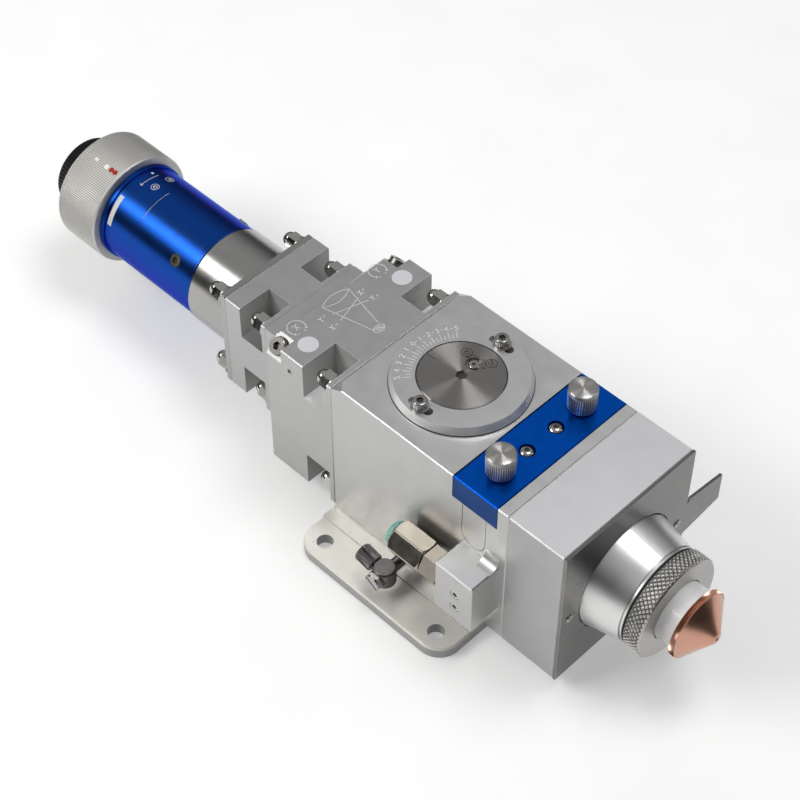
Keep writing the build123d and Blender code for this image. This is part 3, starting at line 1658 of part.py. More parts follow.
# Coloured ring on the union nut
with BuildPart() as gas_seal:
    with BuildSketch(gas_plane(gas_nut_x0)):
        Circle(gas_seal_r)
        Circle(gas_seal_hole_r, mode=Mode.SUBTRACT)
    extrude(amount=gas_seal_l)
    chamfer(gas_seal.edges().group_by(Axis.X)[0], length=gas_seal_edge)
gas_seal.part.label = "gas_seal"
export_step(gas_seal.part, "parts/gas_seal.step")

# Elbow fitting with its stem and tilted leg
leg_x = -cos(radians(elbow_tilt))
leg_z = sin(radians(elbow_tilt))
leg_plane = Plane(origin=(elbow_x, -elbow_y, elbow_z), x_dir=(0, 1, 0), z_dir=(leg_x, 0, leg_z))
stem_plane = Plane(origin=(elbow_x, -elbow_y, elbow_z), x_dir=(1, 0, 0), z_dir=(0, 1, 0))
with BuildPart() as elbow_body:
    with BuildSketch(Plane(origin=(elbow_x, -elbow_y, elbow_z - elbow_low))):
        Circle(elbow_r)
    extrude(amount=elbow_low + elbow_high)
    fillet(elbow_body.edges().filter_by(GeomType.CIRCLE), radius=elbow_round)
    with BuildSketch(stem_plane):
        Circle(elbow_neck_r)
    extrude(amount=-plug_start)
    with BuildSketch(stem_plane):
        Circle(elbow_stem_r)
    extrude(amount=elbow_y - half_w + elbow_stem_bite)
    with BuildSketch(stem_plane.offset(elbow_y - half_w - turn_gap)):
        Circle(elbow_collar_r)
    extrude(amount=-elbow_collar_l)
    with BuildSketch(leg_plane):
        Circle(elbow_leg_r)
    extrude(amount=elbow_leg_l)
    with BuildSketch(leg_plane.offset(elbow_leg_l)):
        Circle(elbow_bore_r)
    extrude(amount=-elbow_bore_l, mode=Mode.SUBTRACT)
    with BuildSketch(leg_plane):
        Circle(elbow_core_r)
    extrude(amount=elbow_leg_l, mode=Mode.SUBTRACT)
    with BuildSketch(stem_plane):
        Circle(elbow_core_r)
    extrude(amount=elbow_y - half_w + elbow_stem_bite, mode=Mode.SUBTRACT)
    with BuildSketch(stem_plane.offset(-plug_start)):
        Circle(plug_stem_r + thread_gap)
    extrude(amount=plug_stem_l + seat_gap, mode=Mode.SUBTRACT)
elbow_body.part.label = "elbow_body"
export_step(elbow_body.part, "parts/elbow_body.step")

# Nut on the elbow's leg
with BuildPart() as elbow_nut:
    with BuildSketch(leg_plane.offset(elbow_nut_start)):
        Circle(elbow_nut_r)
    extrude(amount=elbow_nut_l)
    chamfer(elbow_nut.edges(), length=elbow_nut_edge)
    with BuildSketch(leg_plane.offset(elbow_nut_start)):
        Circle(elbow_leg_r + thread_gap)
    extrude(amount=elbow_nut_l - elbow_nut_lip, mode=Mode.SUBTRACT)
    with BuildSketch(leg_plane.offset(elbow_nut_start)):
        Circle(elbow_bore_r + turn_gap)
    extrude(amount=elbow_nut_l, mode=Mode.SUBTRACT)
elbow_nut.part.label = "elbow_nut"
export_step(elbow_nut.part, "parts/elbow_nut.step")

# Plug at the elbow's outer end
with BuildPart() as elbow_plug:
    with BuildSketch(stem_plane.offset(-plug_start)):
        RegularPolygon(radius=plug_af / 2, side_count=6, major_radius=False)
    extrude(amount=-plug_hex_l)
    with BuildSketch(stem_plane.offset(-plug_start - plug_hex_l)):
        Circle(plug_rim_r)
    extrude(amount=-plug_rim_t)
    with BuildSketch(stem_plane.offset(-plug_start - plug_hex_l - plug_rim_t)):
        Rectangle(3 * plug_rim_r, plug_slot_w, rotation=plug_slot_turn)
    extrude(amount=plug_slot_depth, mode=Mode.SUBTRACT)
    with BuildSketch(stem_plane.offset(-plug_start)):
        Circle(plug_stem_r)
    extrude(amount=plug_stem_l)
elbow_plug.part.label = "elbow_plug"
export_step(elbow_plug.part, "parts/elbow_plug.step")
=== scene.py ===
from math import atan2, cos, hypot, pi, radians, sin

import bmesh
import bpy
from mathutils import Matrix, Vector


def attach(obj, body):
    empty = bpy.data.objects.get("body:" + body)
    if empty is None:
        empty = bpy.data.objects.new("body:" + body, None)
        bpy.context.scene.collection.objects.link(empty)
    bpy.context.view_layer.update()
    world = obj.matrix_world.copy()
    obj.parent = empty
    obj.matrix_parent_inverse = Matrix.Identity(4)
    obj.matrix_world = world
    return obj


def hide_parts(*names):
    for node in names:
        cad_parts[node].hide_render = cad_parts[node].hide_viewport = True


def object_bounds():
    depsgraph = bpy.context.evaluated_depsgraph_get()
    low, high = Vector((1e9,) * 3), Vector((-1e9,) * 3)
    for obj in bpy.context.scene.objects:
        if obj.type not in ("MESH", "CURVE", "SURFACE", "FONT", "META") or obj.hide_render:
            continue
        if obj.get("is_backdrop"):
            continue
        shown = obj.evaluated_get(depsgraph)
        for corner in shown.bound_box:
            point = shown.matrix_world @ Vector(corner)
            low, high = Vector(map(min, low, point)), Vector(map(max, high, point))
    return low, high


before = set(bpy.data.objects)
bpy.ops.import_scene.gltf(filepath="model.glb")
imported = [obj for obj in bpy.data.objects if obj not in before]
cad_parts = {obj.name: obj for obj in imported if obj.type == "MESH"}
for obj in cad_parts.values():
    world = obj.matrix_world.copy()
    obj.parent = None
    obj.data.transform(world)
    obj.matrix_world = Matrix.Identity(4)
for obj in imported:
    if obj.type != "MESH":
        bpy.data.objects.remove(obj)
cad_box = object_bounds()

# Sizes of the CAD pieces that carry a mark, a knurl or a socket, in millimetres
mm = 0.001
beam_z = 39.5
body_top = 76.6
dial_x = -6.1
dial_top = 79.9
adjuster_top = 73.5
drawer_x = 32.85
knob_y = 21.3
scale_screw_y = 21.4
barrel_r = 21.0
knob_r, knob_knurl = 5.5, 0.35
lock_r, lock_knurl = 21.1, 0.6
nozzle_rim_r, nozzle_knurl = 14.0, 0.7
fibre_ring_r, fibre_ring_knurl = 24.9, 0.24
elbow_x, elbow_y, elbow_z = 2.4, -48.2, 14.9

up, front_way, left_way = Vector((0, 0, 1)), Vector((1, 0, 0)), Vector((0, -1, 0))

# Axis frames of the round pieces: origin, direction along, direction at angle zero
leg_tilt = radians(13)
beam_line = (Vector((0, 0, beam_z)), front_way, up)
gas_line = (Vector((0, -41.6, 32.7)), front_way, up)
leg_line = (Vector((elbow_x, elbow_y, elbow_z)), Vector((-cos(leg_tilt), 0, sin(leg_tilt))), -left_way)


def upright_line(x, y):
    return (Vector((x, y, 0)), up, front_way)


# Materials


def feed(tree, socket, value):
    """Links a socket to another one, or sets it to a plain value."""
    if isinstance(value, bpy.types.NodeSocket):
        tree.links.new(value, socket)
    else:
        socket.default_value = value


class Nodes:
    def __init__(self, name):
        self.mat = bpy.data.materials.new(name)
        self.mat.use_nodes = True
        self.tree = self.mat.node_tree
        self.tree.nodes.clear()
        self.out = self.add("ShaderNodeOutputMaterial")
        self.coord = self.add("ShaderNodeTexCoord").outputs["Object"]

    def add(self, kind, inputs=None, **settings):
        node = self.tree.nodes.new(kind)
        for key, value in settings.items():
            setattr(node, key, value)
        for key, value in (inputs or {}).items():
            feed(self.tree, node.inputs[key], value)
        return node

    def surface(self, shader):
        self.tree.links.new(shader, self.out.inputs["Surface"])
        return self.mat

    def noise(self, size, detail=2.0, rough=0.5, dims="3D", w=None):
        inputs = {"Scale": 1 / (size * mm), "Detail": detail, "Roughness": rough}
        if dims == "1D":
            inputs["W"] = w
        else:
            inputs["Vector"] = self.coord
        return self.add("ShaderNodeTexNoise", inputs, noise_dimensions=dims).outputs["Fac"]

    def spread(self, value, low, high, start=0.25, end=0.75):
        inputs = {"Value": value, "From Min": start, "From Max": end, "To Min": low, "To Max": high}
        return self.add("ShaderNodeMapRange", inputs, clamp=True).outputs["Result"]

    def mix(self, fac, a, b):
        """Blends two colours: the node holds its factor at 0 and its colours at 6 and 7."""
        return self.add("ShaderNodeMix", {0: fac, 6: a, 7: b}, data_type="RGBA").outputs[2]

    def math(self, operation, a, b):
        return self.add("ShaderNodeMath", {0: a, 1: b}, operation=operation).outputs[0]

    def vector(self, operation, a, b=(0, 0, 0)):
        return self.add("ShaderNodeVectorMath", {0: a, 1: b}, operation=operation).outputs[0]

    def length(self, a):
        return self.add("ShaderNodeVectorMath", {0: a}, operation="LENGTH").outputs["Value"]

    def bump(self, distance, height, **under):
        inputs = {"Strength": 1.0, "Distance": distance * mm, "Height": height}
        return self.add("ShaderNodeBump", {**inputs, **under}).outputs[0]

    def facing(self, part):
        normal = self.add("ShaderNodeTexCoord").outputs["Normal"]
        return self.add("ShaderNodeSeparateXYZ", {0: normal}).outputs[part]

    def inside(self, boxes):
        """1 in the corner notches: x from and to, beyond |y|, and beyond a distance from a mid height."""
        parts = self.add("ShaderNodeSeparateXYZ", {0: self.coord}).outputs
        aside = self.math("ABSOLUTE", parts["Y"], 0.0)
        total = 0.0
        for x0, x1, y0, mid_z, dz in boxes:
            rise = self.math("ABSOLUTE", self.math("SUBTRACT", parts["Z"], mid_z * mm), 0.0)
            box = self.math("GREATER_THAN", parts["X"], x0 * mm)
            box = self.math("MULTIPLY", box, self.math("LESS_THAN", parts["X"], x1 * mm))
            box = self.math("MULTIPLY", box, self.math("GREATER_THAN", aside, y0 * mm))
            box = self.math("MULTIPLY", box, self.math("GREATER_THAN", rise, dz * mm))
            total = self.math("MAXIMUM", box, total)
        return total

    def edge(self, radius, low=0.9, high=0.995):
        bevel = self.add("ShaderNodeBevel", {"Radius": radius * mm}, samples=4)
        face = self.add("ShaderNodeNewGeometry")
        sockets = {0: bevel.outputs[0], 1: face.outputs["Normal"]}
        dot = self.add("ShaderNodeVectorMath", sockets, operation="DOT_PRODUCT")
        return self.spread(dot.outputs["Value"], 1.0, 0.0, low, high)


def shade(color, by):
    return (*(min(1.0, c * by) for c in color[:3]), 1.0)


# Sizes of the noise patterns that all finishes share
tone_size, patch_size, gloss_size = 14, 2.2, 6

# Milled notches: painted light on their walls along the beam and on their floors, painted shade on their
# walls across it, added roughness and lost metal
notch_painted_light, notch_painted_shade, notch_rough, notch_dull = 1.75, 0.5, 0.12, 0.8


def finish_of(
    name,
    color,
    metallic=1.0,
    roughness=0.4,
    grain=0.35,
    grain_depth=0.012,
    tone=0.05,
    rough_spread=0.05,
    wear=0.0,
    wear_size=0.35,
    wear_shading_rough=0.2,
    wear_color=None,
    turned=None,
    pitch=0.2,
    turned_depth=0.004,
    aniso=0.0,
    painted_notches=None,
    knurl_shade_and_highlight=None,
    painted_side_shading=None,
    painted_side_limits=(0.3, 0.7),
    **sockets,
):
    """A procedural finish: grain, tone and gloss variation, turning lines, rubbed edges that carry painted
    edge highlights, and painted light and shade in notches, knurls and on upright faces.

    turned holds the axis and its origin; the knurl tuple holds a knurl's crest radius and depth, the painted
    shade in its grooves and the painted highlight on its crests, and its two ends along the axis;
    the side colour paints shading on upright faces, darker on most parts and lighter on the scale ring.
    """
    n = Nodes(name)
    color = (*color, 1.0)
    tones = n.noise(tone_size, 3.0, 0.6)
    base = n.mix(n.spread(tones, 0.0, 1.0), shade(color, 1 - tone), shade(color, 1 + tone))
    rough = n.spread(n.noise(gloss_size, 2.0, 0.5), roughness - rough_spread, roughness + rough_spread)
    # Rubbed edges: their colour is partly real wear and partly a painted edge highlight; on the blue cover it
    # is painted shade instead
    if wear:
        patch = n.spread(n.noise(patch_size, 3.0, 0.65), 0.35, 1.0)
        worn_and_shaded = n.math("MULTIPLY", n.edge(wear_size), patch)
        base = n.mix(worn_and_shaded, base, (*wear_color, 1.0) if wear_color else shade(color, 1 + wear))
        rough = n.math("SUBTRACT", rough, n.math("MULTIPLY", worn_and_shaded, roughness - wear_shading_rough))
    # Notch walls across the beam that face the nozzle are painted in shade, the other notch faces are painted
    # light
    if painted_notches:
        inner = n.inside(painted_notches)
        across = n.spread(n.facing("X"), 0.0, 1.0, 0.4, 0.8)
        base = n.mix(inner, base, n.mix(across, shade(color, notch_painted_light), shade(color, notch_painted_shade)))
        rough = n.math("ADD", rough, n.math("MULTIPLY", inner, notch_rough))
        metallic = n.math("SUBTRACT", metallic, n.math("MULTIPLY", inner, notch_dull))
    # Upright faces take their own colour as painted shading: darker on most parts, lighter on the scale
    # ring's chamfer
    if painted_side_shading:
        upright = n.math("ABSOLUTE", n.facing("Z"), 0.0)
        base = n.mix(n.spread(upright, 1.0, 0.0, *painted_side_limits), base, (*painted_side_shading, 1.0))
    bump = n.bump(grain_depth, n.noise(grain, 2.0, 0.6))
    if turned:
        axis, origin = turned
        place = n.vector("SUBTRACT", n.coord, tuple(v * mm for v in origin))
        along = n.add("ShaderNodeSeparateXYZ", {0: place}).outputs[axis]
        radius = n.length(n.vector("MULTIPLY", place, {"X": (0, 1, 1), "Z": (1, 1, 0)}[axis]))
        # Knurls: painted shade in the grooves and a painted highlight on the crests
        if knurl_shade_and_highlight:
            crest, depth, dark, light, low, high = knurl_shade_and_highlight
            height = n.spread(radius, 1.0, 0.0, (crest - depth) * mm, (crest - 0.3 * depth) * mm)
            above, below = n.math("GREATER_THAN", along, low * mm), n.math("LESS_THAN", along, high * mm)
            knurl = n.math("MULTIPLY", above, below)
            base = n.mix(knurl, base, n.mix(height, shade(color, light), shade(color, dark)))
        lines = n.noise(pitch, 1.0, 0.5, "1D", n.math("ADD", along, radius))
        bump = n.bump(turned_depth, lines, Normal=bump)
    inputs = {"Metallic": metallic, "Base Color": base, "Roughness": rough, "Normal": bump}
    bsdf = n.add("ShaderNodeBsdfPrincipled", inputs)
    if aniso:
        round_way = n.vector("CROSS_PRODUCT", {"X": (1, 0, 0), "Z": (0, 0, 1)}[axis], place)
        round_way = n.add(
            "ShaderNodeVectorTransform", {0: round_way}, vector_type="VECTOR", convert_from="OBJECT",
            convert_to="WORLD",
        ).outputs[0]
        normal = n.add("ShaderNodeNewGeometry").outputs["Normal"]
        across = n.vector("NORMALIZE", n.vector("CROSS_PRODUCT", round_way, normal))
        n.tree.links.new(across, bsdf.inputs["Tangent"])
        bsdf.inputs["Anisotropic"].default_value = aniso
    for key, value in sockets.items():
        bsdf.inputs[key.replace("_", " ")].default_value = value
    return n.surface(bsdf.outputs[0])


on_beam = ("X", (0, 0, beam_z))
on_dial = ("Z", (dial_x, 0, 0))

# Notches of the two flanges: x from and to, beyond |y|, mid height, beyond a distance from it
notches = ((-54.05, -41.35, 16.95, 40.25, 16.5), (-100.55, -88.35, 8.15, 38.6, 8.6))

# Edge colour of the blasted parts: a painted highlight along their edges, together with rubbed wear
edge_highlight_color = (0.9, 0.9, 0.89)
blasted_edge_highlights = {"wear": 1.0, "wear_size": 0.26, "wear_color": edge_highlight_color}
blasted = finish_of(
    "blasted_body", (0.61, 0.61, 0.61), 0.92, 0.4, tone=0.03, grain_depth=0.01, painted_side_shading=(0.54, 0.54, 0.535),
    **blasted_edge_highlights,
)
ring_silver = finish_of(
    "ring_silver", (0.6, 0.6, 0.6), 0.92, 0.4, tone=0.03, grain_depth=0.01, painted_side_shading=(0.97, 0.97, 0.97),
    painted_side_limits=(0.72, 0.95), **blasted_edge_highlights,
)
blasted_dark = finish_of(
    "blasted_rear", (0.53, 0.53, 0.53), 0.94, 0.4, tone=0.03, grain_depth=0.016, painted_notches=notches,
    painted_side_shading=(0.48, 0.48, 0.475), **blasted_edge_highlights,
)
blasted_light = finish_of(
    "blasted_nozzle_block", (0.69, 0.69, 0.705), 0.85, 0.5, tone=0.025, grain_depth=0.014,
    painted_side_shading=(0.49, 0.49, 0.49), **blasted_edge_highlights,
)
blasted_plate = finish_of(
    "blasted_plate", (0.96, 0.935, 0.865), 0.22, 0.32, wear=1.0, wear_size=0.3, wear_color=edge_highlight_color,
    tone=0.03, grain_depth=0.003, painted_side_shading=(0.42, 0.42, 0.41),
)
# Front plate: its colour is darkened as painted shade, standing in for the shaded floor that it reflects
satin_front_painted_shade = finish_of(
    "satin_front_painted_shade", (0.21, 0.207, 0.202), 0.97, 0.26, grain=0.8, grain_depth=0.0008, rough_spread=0.02,
    wear=1.0, wear_size=0.2, wear_color=(0.75, 0.74, 0.72), tone=0.06,
)
turned_silver = finish_of(
    "turned_silver", (0.4, 0.395, 0.385), 1.0, 0.26, grain_depth=0.0002, rough_spread=0.02, turned=on_beam,
    pitch=0.18, turned_depth=0.002, aniso=0.5, tone=0.03, wear=0.25, wear_size=0.2,
)
cone_silver = finish_of(
    "cone_silver", (0.76, 0.755, 0.75), 1.0, 0.35, grain_depth=0.004, tone=0.03, rough_spread=0.02, wear=0.25,
    wear_size=0.2,
)
turned_steel = finish_of(
    "turned_steel", (0.42, 0.41, 0.4), 1.0, 0.2, grain_depth=0.003, wear=1.2, wear_size=0.12, tone=0.06,
)
dark_screw = finish_of(
    "dark_screw", (0.22, 0.215, 0.2), 1.0, 0.28, grain_depth=0.004, wear=1.0, wear_size=0.12, tone=0.08,
)
knurled_steel = finish_of(
    "knurled_steel", (0.45, 0.44, 0.425), 1.0, 0.3, grain_depth=0.0005, tone=0.04, rough_spread=0.02,
    turned=on_beam, turned_depth=0.001, knurl_shade_and_highlight=(lock_r, lock_knurl, 0.2, 1.6, 92.5, 98.6),
)
fibre_ring_silver = finish_of(
    "fibre_ring_silver", (0.62, 0.61, 0.585), 0.8, 0.55, grain=0.2, grain_depth=0.002, tone=0.04,
    turned=on_beam, turned_depth=0.001, knurl_shade_and_highlight=(fibre_ring_r, fibre_ring_knurl, 0.55, 1.0, -213.0, -191.6),
)
nickel = finish_of(
    "bright_nickel", (0.42, 0.385, 0.33), 1.0, 0.22, grain=2.0, grain_depth=0.0008, wear=0.5, wear_size=0.25,
    tone=0.05,
)
gunmetal = finish_of(
    "gunmetal", (0.15, 0.138, 0.14), 1.0, 0.3, grain_depth=0.008, wear=3.0, wear_size=0.15, tone=0.08,
)
cap_nut_metal = finish_of(
    "cap_nut_metal", (0.5, 0.49, 0.46), 1.0, 0.09, grain_depth=0.001, wear=0.8, wear_size=0.12, tone=0.06,
)
dial_metal = finish_of(
    "dial_metal", (0.32, 0.307, 0.298), 1.0, 0.3, grain_depth=0.0002, turned=on_dial, pitch=0.12,
    turned_depth=0.0005, aniso=0.97, tone=0.03, rough_spread=0.02,
)
copper = finish_of(
    "turned_copper", (0.6, 0.33, 0.245), 1.0, 0.24, grain_depth=0.0002, rough_spread=0.02, turned=on_beam,
    pitch=0.14, turned_depth=0.001, aniso=0.25, tone=0.06,
    knurl_shade_and_highlight=(nozzle_rim_r, 0.6, 0.1, 1.25, 106.9, 109.0),
)
brass_screw = finish_of(
    "brass_screw", (0.5, 0.42, 0.27), 1.0, 0.25, grain_depth=0.003, wear=1.0, wear_size=0.12, tone=0.08,
)
blue = finish_of(
    "blue_anodised", (0.001, 0.09, 0.52), 1.0, 0.34, grain_depth=0.008, tone=0.06, wear=1.0, wear_size=0.12,
    wear_color=(0.004, 0.05, 0.3), painted_side_shading=(0.001, 0.045, 0.2),
)
blue_turned = finish_of(
    "blue_turned", (0.0008, 0.06, 0.35), 1.0, 0.3, grain_depth=0.0001, turned=on_beam, pitch=0.25,
    turned_depth=0.0003, aniso=0.55, tone=0.05, rough_spread=0.02, wear=1.0, wear_size=0.25,
    wear_color=(0.06, 0.2, 0.66), Coat_Weight=0.2, Coat_Roughness=0.3, Specular_Tint=(0.1, 0.35, 1.0, 1.0),
)
ceramic = finish_of(
    "white_ceramic", (0.97, 0.935, 0.92), 0.0, 0.3, grain=0.6, grain_depth=0.004, tone=0.03, Coat_Weight=0.3,
    Subsurface_Weight=0.08,
)
black_plastic = finish_of(
    "black_plastic", (0.002, 0.002, 0.0022), 0.0, 0.4, grain=0.5, grain_depth=0.02, tone=0.3,
    Specular_IOR_Level=0.25,
)
white_plastic = finish_of(
    "white_plastic", (0.68, 0.69, 0.73), 0.0, 0.35, grain=0.8, grain_depth=0.004, tone=0.03,
)
teal_plastic = finish_of("teal_plastic", (0.22, 0.5, 0.45), 0.0, 0.3, grain=0.6, grain_depth=0.01, tone=0.2)
# Black rubber of the seals, also used for a painted shadow ring behind the ring nut
seal_rubber_and_shade = finish_of("seal_rubber_and_shade", (0.02, 0.02, 0.02), 0.0, 0.6, grain=0.4, grain_depth=0.02, tone=0.2)
etched = finish_of("etched_line", (0.86, 0.86, 0.84), 0.2, 0.6, grain=0.2, grain_depth=0.01, tone=0.08)
# Dark etch of the dial's marks, also used for painted shade in the sockets and painted shadow at the foot of
# the scale ring
dark_etch_and_shade = finish_of(
    "dark_etch_and_shade", (0.04, 0.037, 0.034), 0.2, 0.5, grain=0.2, grain_depth=0.01, tone=0.2,
)
# White paint of the barrel's marks, also used for a painted highlight on the barrel
white_paint_and_glint = finish_of("white_paint_and_glint", (0.72, 0.71, 0.69), 0.0, 0.5, grain=0.3, grain_depth=0.01, tone=0.06)
white_mark = finish_of("white_mark", (0.95, 0.95, 0.94), 0.0, 0.5, grain=0.3, grain_depth=0.01, tone=0.03)
red_paint = finish_of("red_paint", (0.42, 0.01, 0.01), 0.0, 0.4, grain=0.3, grain_depth=0.01, tone=0.12)
seam_blue = finish_of("seam_blue", (0.003, 0.015, 0.1), 0.5, 0.4, grain=0.2, grain_depth=0.01, tone=0.2)


def glass_of(name, tint):
    n = Nodes(name)
    rough = n.spread(n.noise(3, 3.0), 0.0, 0.03)
    bump = n.bump(0.002, n.noise(6, 2.0), Strength=0.2)
    tones = n.mix(n.spread(n.noise(8), 0, 1), shade(tint, 0.97), (*tint, 1.0))
    inputs = {"Base Color": tones, "Roughness": rough, "Normal": bump}
    bsdf = n.add("ShaderNodeBsdfPrincipled", {**inputs, "IOR": 1.46, "Transmission Weight": 1.0})
    return n.surface(bsdf.outputs[0])


lens_glass = glass_of("coated_glass", (0.86, 0.93, 0.97))

node_finish = {
    blasted_plate: ["mounting_plate"],
    blasted: ["main_body", "gas_block", "drawer_tray", "lens_carriage", "collimator_cell"],
    ring_silver: ["scale_ring"],
    blasted_dark: ["adjuster_block", "rear_block"],
    blasted_light: ["nozzle_block"],
    satin_front_painted_shade: ["front_plate"],
    turned_silver: ["collimator_tube", "fibre_receiver"],
    cone_silver: ["sensor_cone"],
    turned_steel: [
        "plate_screws", "block_screws", "face_screws", "scale_screws", "scale_washers", "dial_lock_screw",
        "focus_pin", "focus_lens_ring", "cover_screws", "window_ring", "cross_slide", "collimator_lens_ring",
        "return_plungers", "flange_studs", "flange_washers", "elbow_plug",
    ],
    dark_screw: ["centring_screw_left", "centring_screw_right"],
    brass_screw: ["barrel_set_screws"],
    knurled_steel: ["nozzle_lock_ring", "thumb_screw_left", "thumb_screw_right"],
    fibre_ring_silver: ["fibre_lock_ring"],
    nickel: ["gas_fitting", "gas_nut"],
    gunmetal: ["elbow_body", "elbow_nut"],
    cap_nut_metal: ["flange_nuts"],
    dial_metal: ["focus_dial"],
    copper: ["copper_nozzle"],
    blue: ["drawer_cover"],
    blue_turned: ["collimator_barrel"],
    ceramic: ["ceramic_body"],
    black_plastic: ["dust_cap"],
    white_plastic: ["sight_plugs"],
    teal_plastic: ["gas_seal"],
    seal_rubber_and_shade: ["window_seals", "ceramic_seal"],
    lens_glass: ["focusing_lens", "collimating_lens", "protective_window"],
}
for material, names in node_finish.items():
    for node_name in names:
        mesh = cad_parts[node_name].data
        mesh.materials.clear()
        mesh.materials.append(material)


# Mesh helpers


def piece(name, points, faces, material, body, slot, sharp=35.0):
    """Makes a mesh from points in millimetres, smooth but for its sharp edges, and puts it on its body."""
    mesh = bpy.data.meshes.new(name)
    mesh.from_pydata([tuple(p * mm for p in point) for point in points], [], faces)
    mesh.materials.append(material)
    work = bmesh.new()
    work.from_mesh(mesh)
    bmesh.ops.recalc_face_normals(work, faces=work.faces)
    for face in work.faces:
        face.smooth = True
    for edge in work.edges:
        if len(edge.link_faces) == 2 and edge.calc_face_angle(0.0) > radians(sharp):
            edge.smooth = False
    work.to_mesh(mesh)
    work.free()
    obj = bpy.data.objects.new(name, mesh)
    bpy.context.scene.collection.objects.link(obj)
    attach(obj, body)
    return obj


def lathe(name, lines, profile, around, material, body, slot, ridge=None, closed=False):
    """Turns rows of (along, radius, ridge depth, own ridge) round each line.

    A ridge is 0 on a crest and 1 in a groove.
    """
    points, faces = [], []
    for origin, along, start in lines if isinstance(lines, list) else [lines]:
        side = along.cross(start)
        rows = []
        for place, radius, depth, *own in profile:
            if radius == 0:
                rows.append([len(points)] * around)
                points.append(origin + along * place)
                continue
            shape = own[0] if own else ridge
            row = []
            for i in range(around):
                turn = 2 * pi * i / around
                r = radius - (depth * shape(turn, place) if depth else 0.0)
                row.append(len(points))
                points.append(origin + along * place + (start * cos(turn) + side * sin(turn)) * r)
            rows.append(row)
        for a, b in list(zip(rows, rows[1:])) + ([(rows[-1], rows[0])] if closed else []):
            for i in range(around):
                j = (i + 1) % around
                corners = list(dict.fromkeys([a[i], a[j], b[j], b[i]]))
                if len(corners) > 2:
                    faces.append(corners)
    return piece(name, points, faces, material, body, slot)


def triangle_wave(value):
    return abs(2 * (value % 1.0) - 1)


def ribs(count):
    return lambda turn, along: triangle_wave(count * turn / (2 * pi))


def diamonds(count, step):
    def depth(turn, along):
        a = count * turn / (2 * pi)
        b = along / step
        return max(0.0, max(triangle_wave(a + b), triangle_wave(a - b)) - 0.4) / 0.6
    return depth


def hexagon(flats):
    """Own ridge of a hexagonal hole, for a row whose radius reaches its corners and whose depth is 1."""
    def depth(turn, along):
        return flats / (2 * cos(pi / 6)) - flats / (2 * cos((turn % (pi / 3)) - pi / 6))
    return depth


def spaced(start, end, count):
    return [start + (end - start) * i / (count - 1) for i in range(count)]


# Strokes that lie on a flat or round face


def strokes(name, lines, place, width, material, body, slot, rise=0.03, sunk=0.06, step=0.6):
    """Thin raised lines, each a list of (u, v) points; place(u, v, height) gives the point in space."""
    points, faces = [], []

    def ribbon(left, right):
        base = len(points)
        for (lu, lv), (ru, rv) in zip(left, right):
            points.extend([place(lu, lv, rise), place(ru, rv, rise)])
            points.extend([place(ru, rv, -sunk), place(lu, lv, -sunk)])
        count = len(left)
        for i in range(count - 1):
            a, b = base + 4 * i, base + 4 * (i + 1)
            for k in range(4):
                m = (k + 1) % 4
                faces.append([a + k, a + m, b + m, b + k])
        faces.append([base, base + 1, base + 2, base + 3])
        last = base + 4 * (count - 1)
        faces.append([last + 3, last + 2, last + 1, last])

    for line in lines:
        half = width / 2
        dense = []
        for (u0, v0), (u1, v1) in zip(line, line[1:]):
            length = hypot(u1 - u0, v1 - v0)
            parts = max(1, int(length / step + 0.999))
            dense.extend((u0 + (u1 - u0) * i / parts, v0 + (v1 - v0) * i / parts) for i in range(parts))
        dense.append(line[-1])
        left, right = [], []
        for i, (u, v) in enumerate(dense):
            before, after = dense[max(0, i - 1)], dense[min(len(dense) - 1, i + 1)]
            turn = atan2(after[1] - before[1], after[0] - before[0])
            du, dv = -sin(turn) * half, cos(turn) * half
            left.append((u + du, v + dv))
            right.append((u - du, v - dv))
        ribbon(left, right)
    return piece(name, points, faces, material, body, slot)


def arc(cu, cv, r, start, end, steps=24, squeeze=1.0):
    turns = [radians(a) for a in spaced(start, end, steps)]
    return [(cu + r * cos(turn), cv + squeeze * r * sin(turn)) for turn in turns]


def arrow_heads(cu, cv, r, start, end, spread, barb=0.9):
    """Two barbs at each end of an arc that runs from start to end, for an arrow that points both ways."""
    heads = []
    for a, way in ((start, -90), (end, 90)):
        u, v = cu + r * cos(radians(a)), cv + r * sin(radians(a))
        for back in (a + way + 180 + spread, a + way + 180 - spread):
            heads.append([(u, v), (u + barb * cos(radians(back)), v + barb * sin(radians(back)))])
    return heads


def moved(line, cu, cv, size, turn):
    """Points of a sign, drawn in a unit square, at their place, height and turn."""
    c, s = cos(radians(turn)), sin(radians(turn))
    return [(cu + size * (u * c - v * s), cv + size * (u * s + v * c)) for u, v in line]


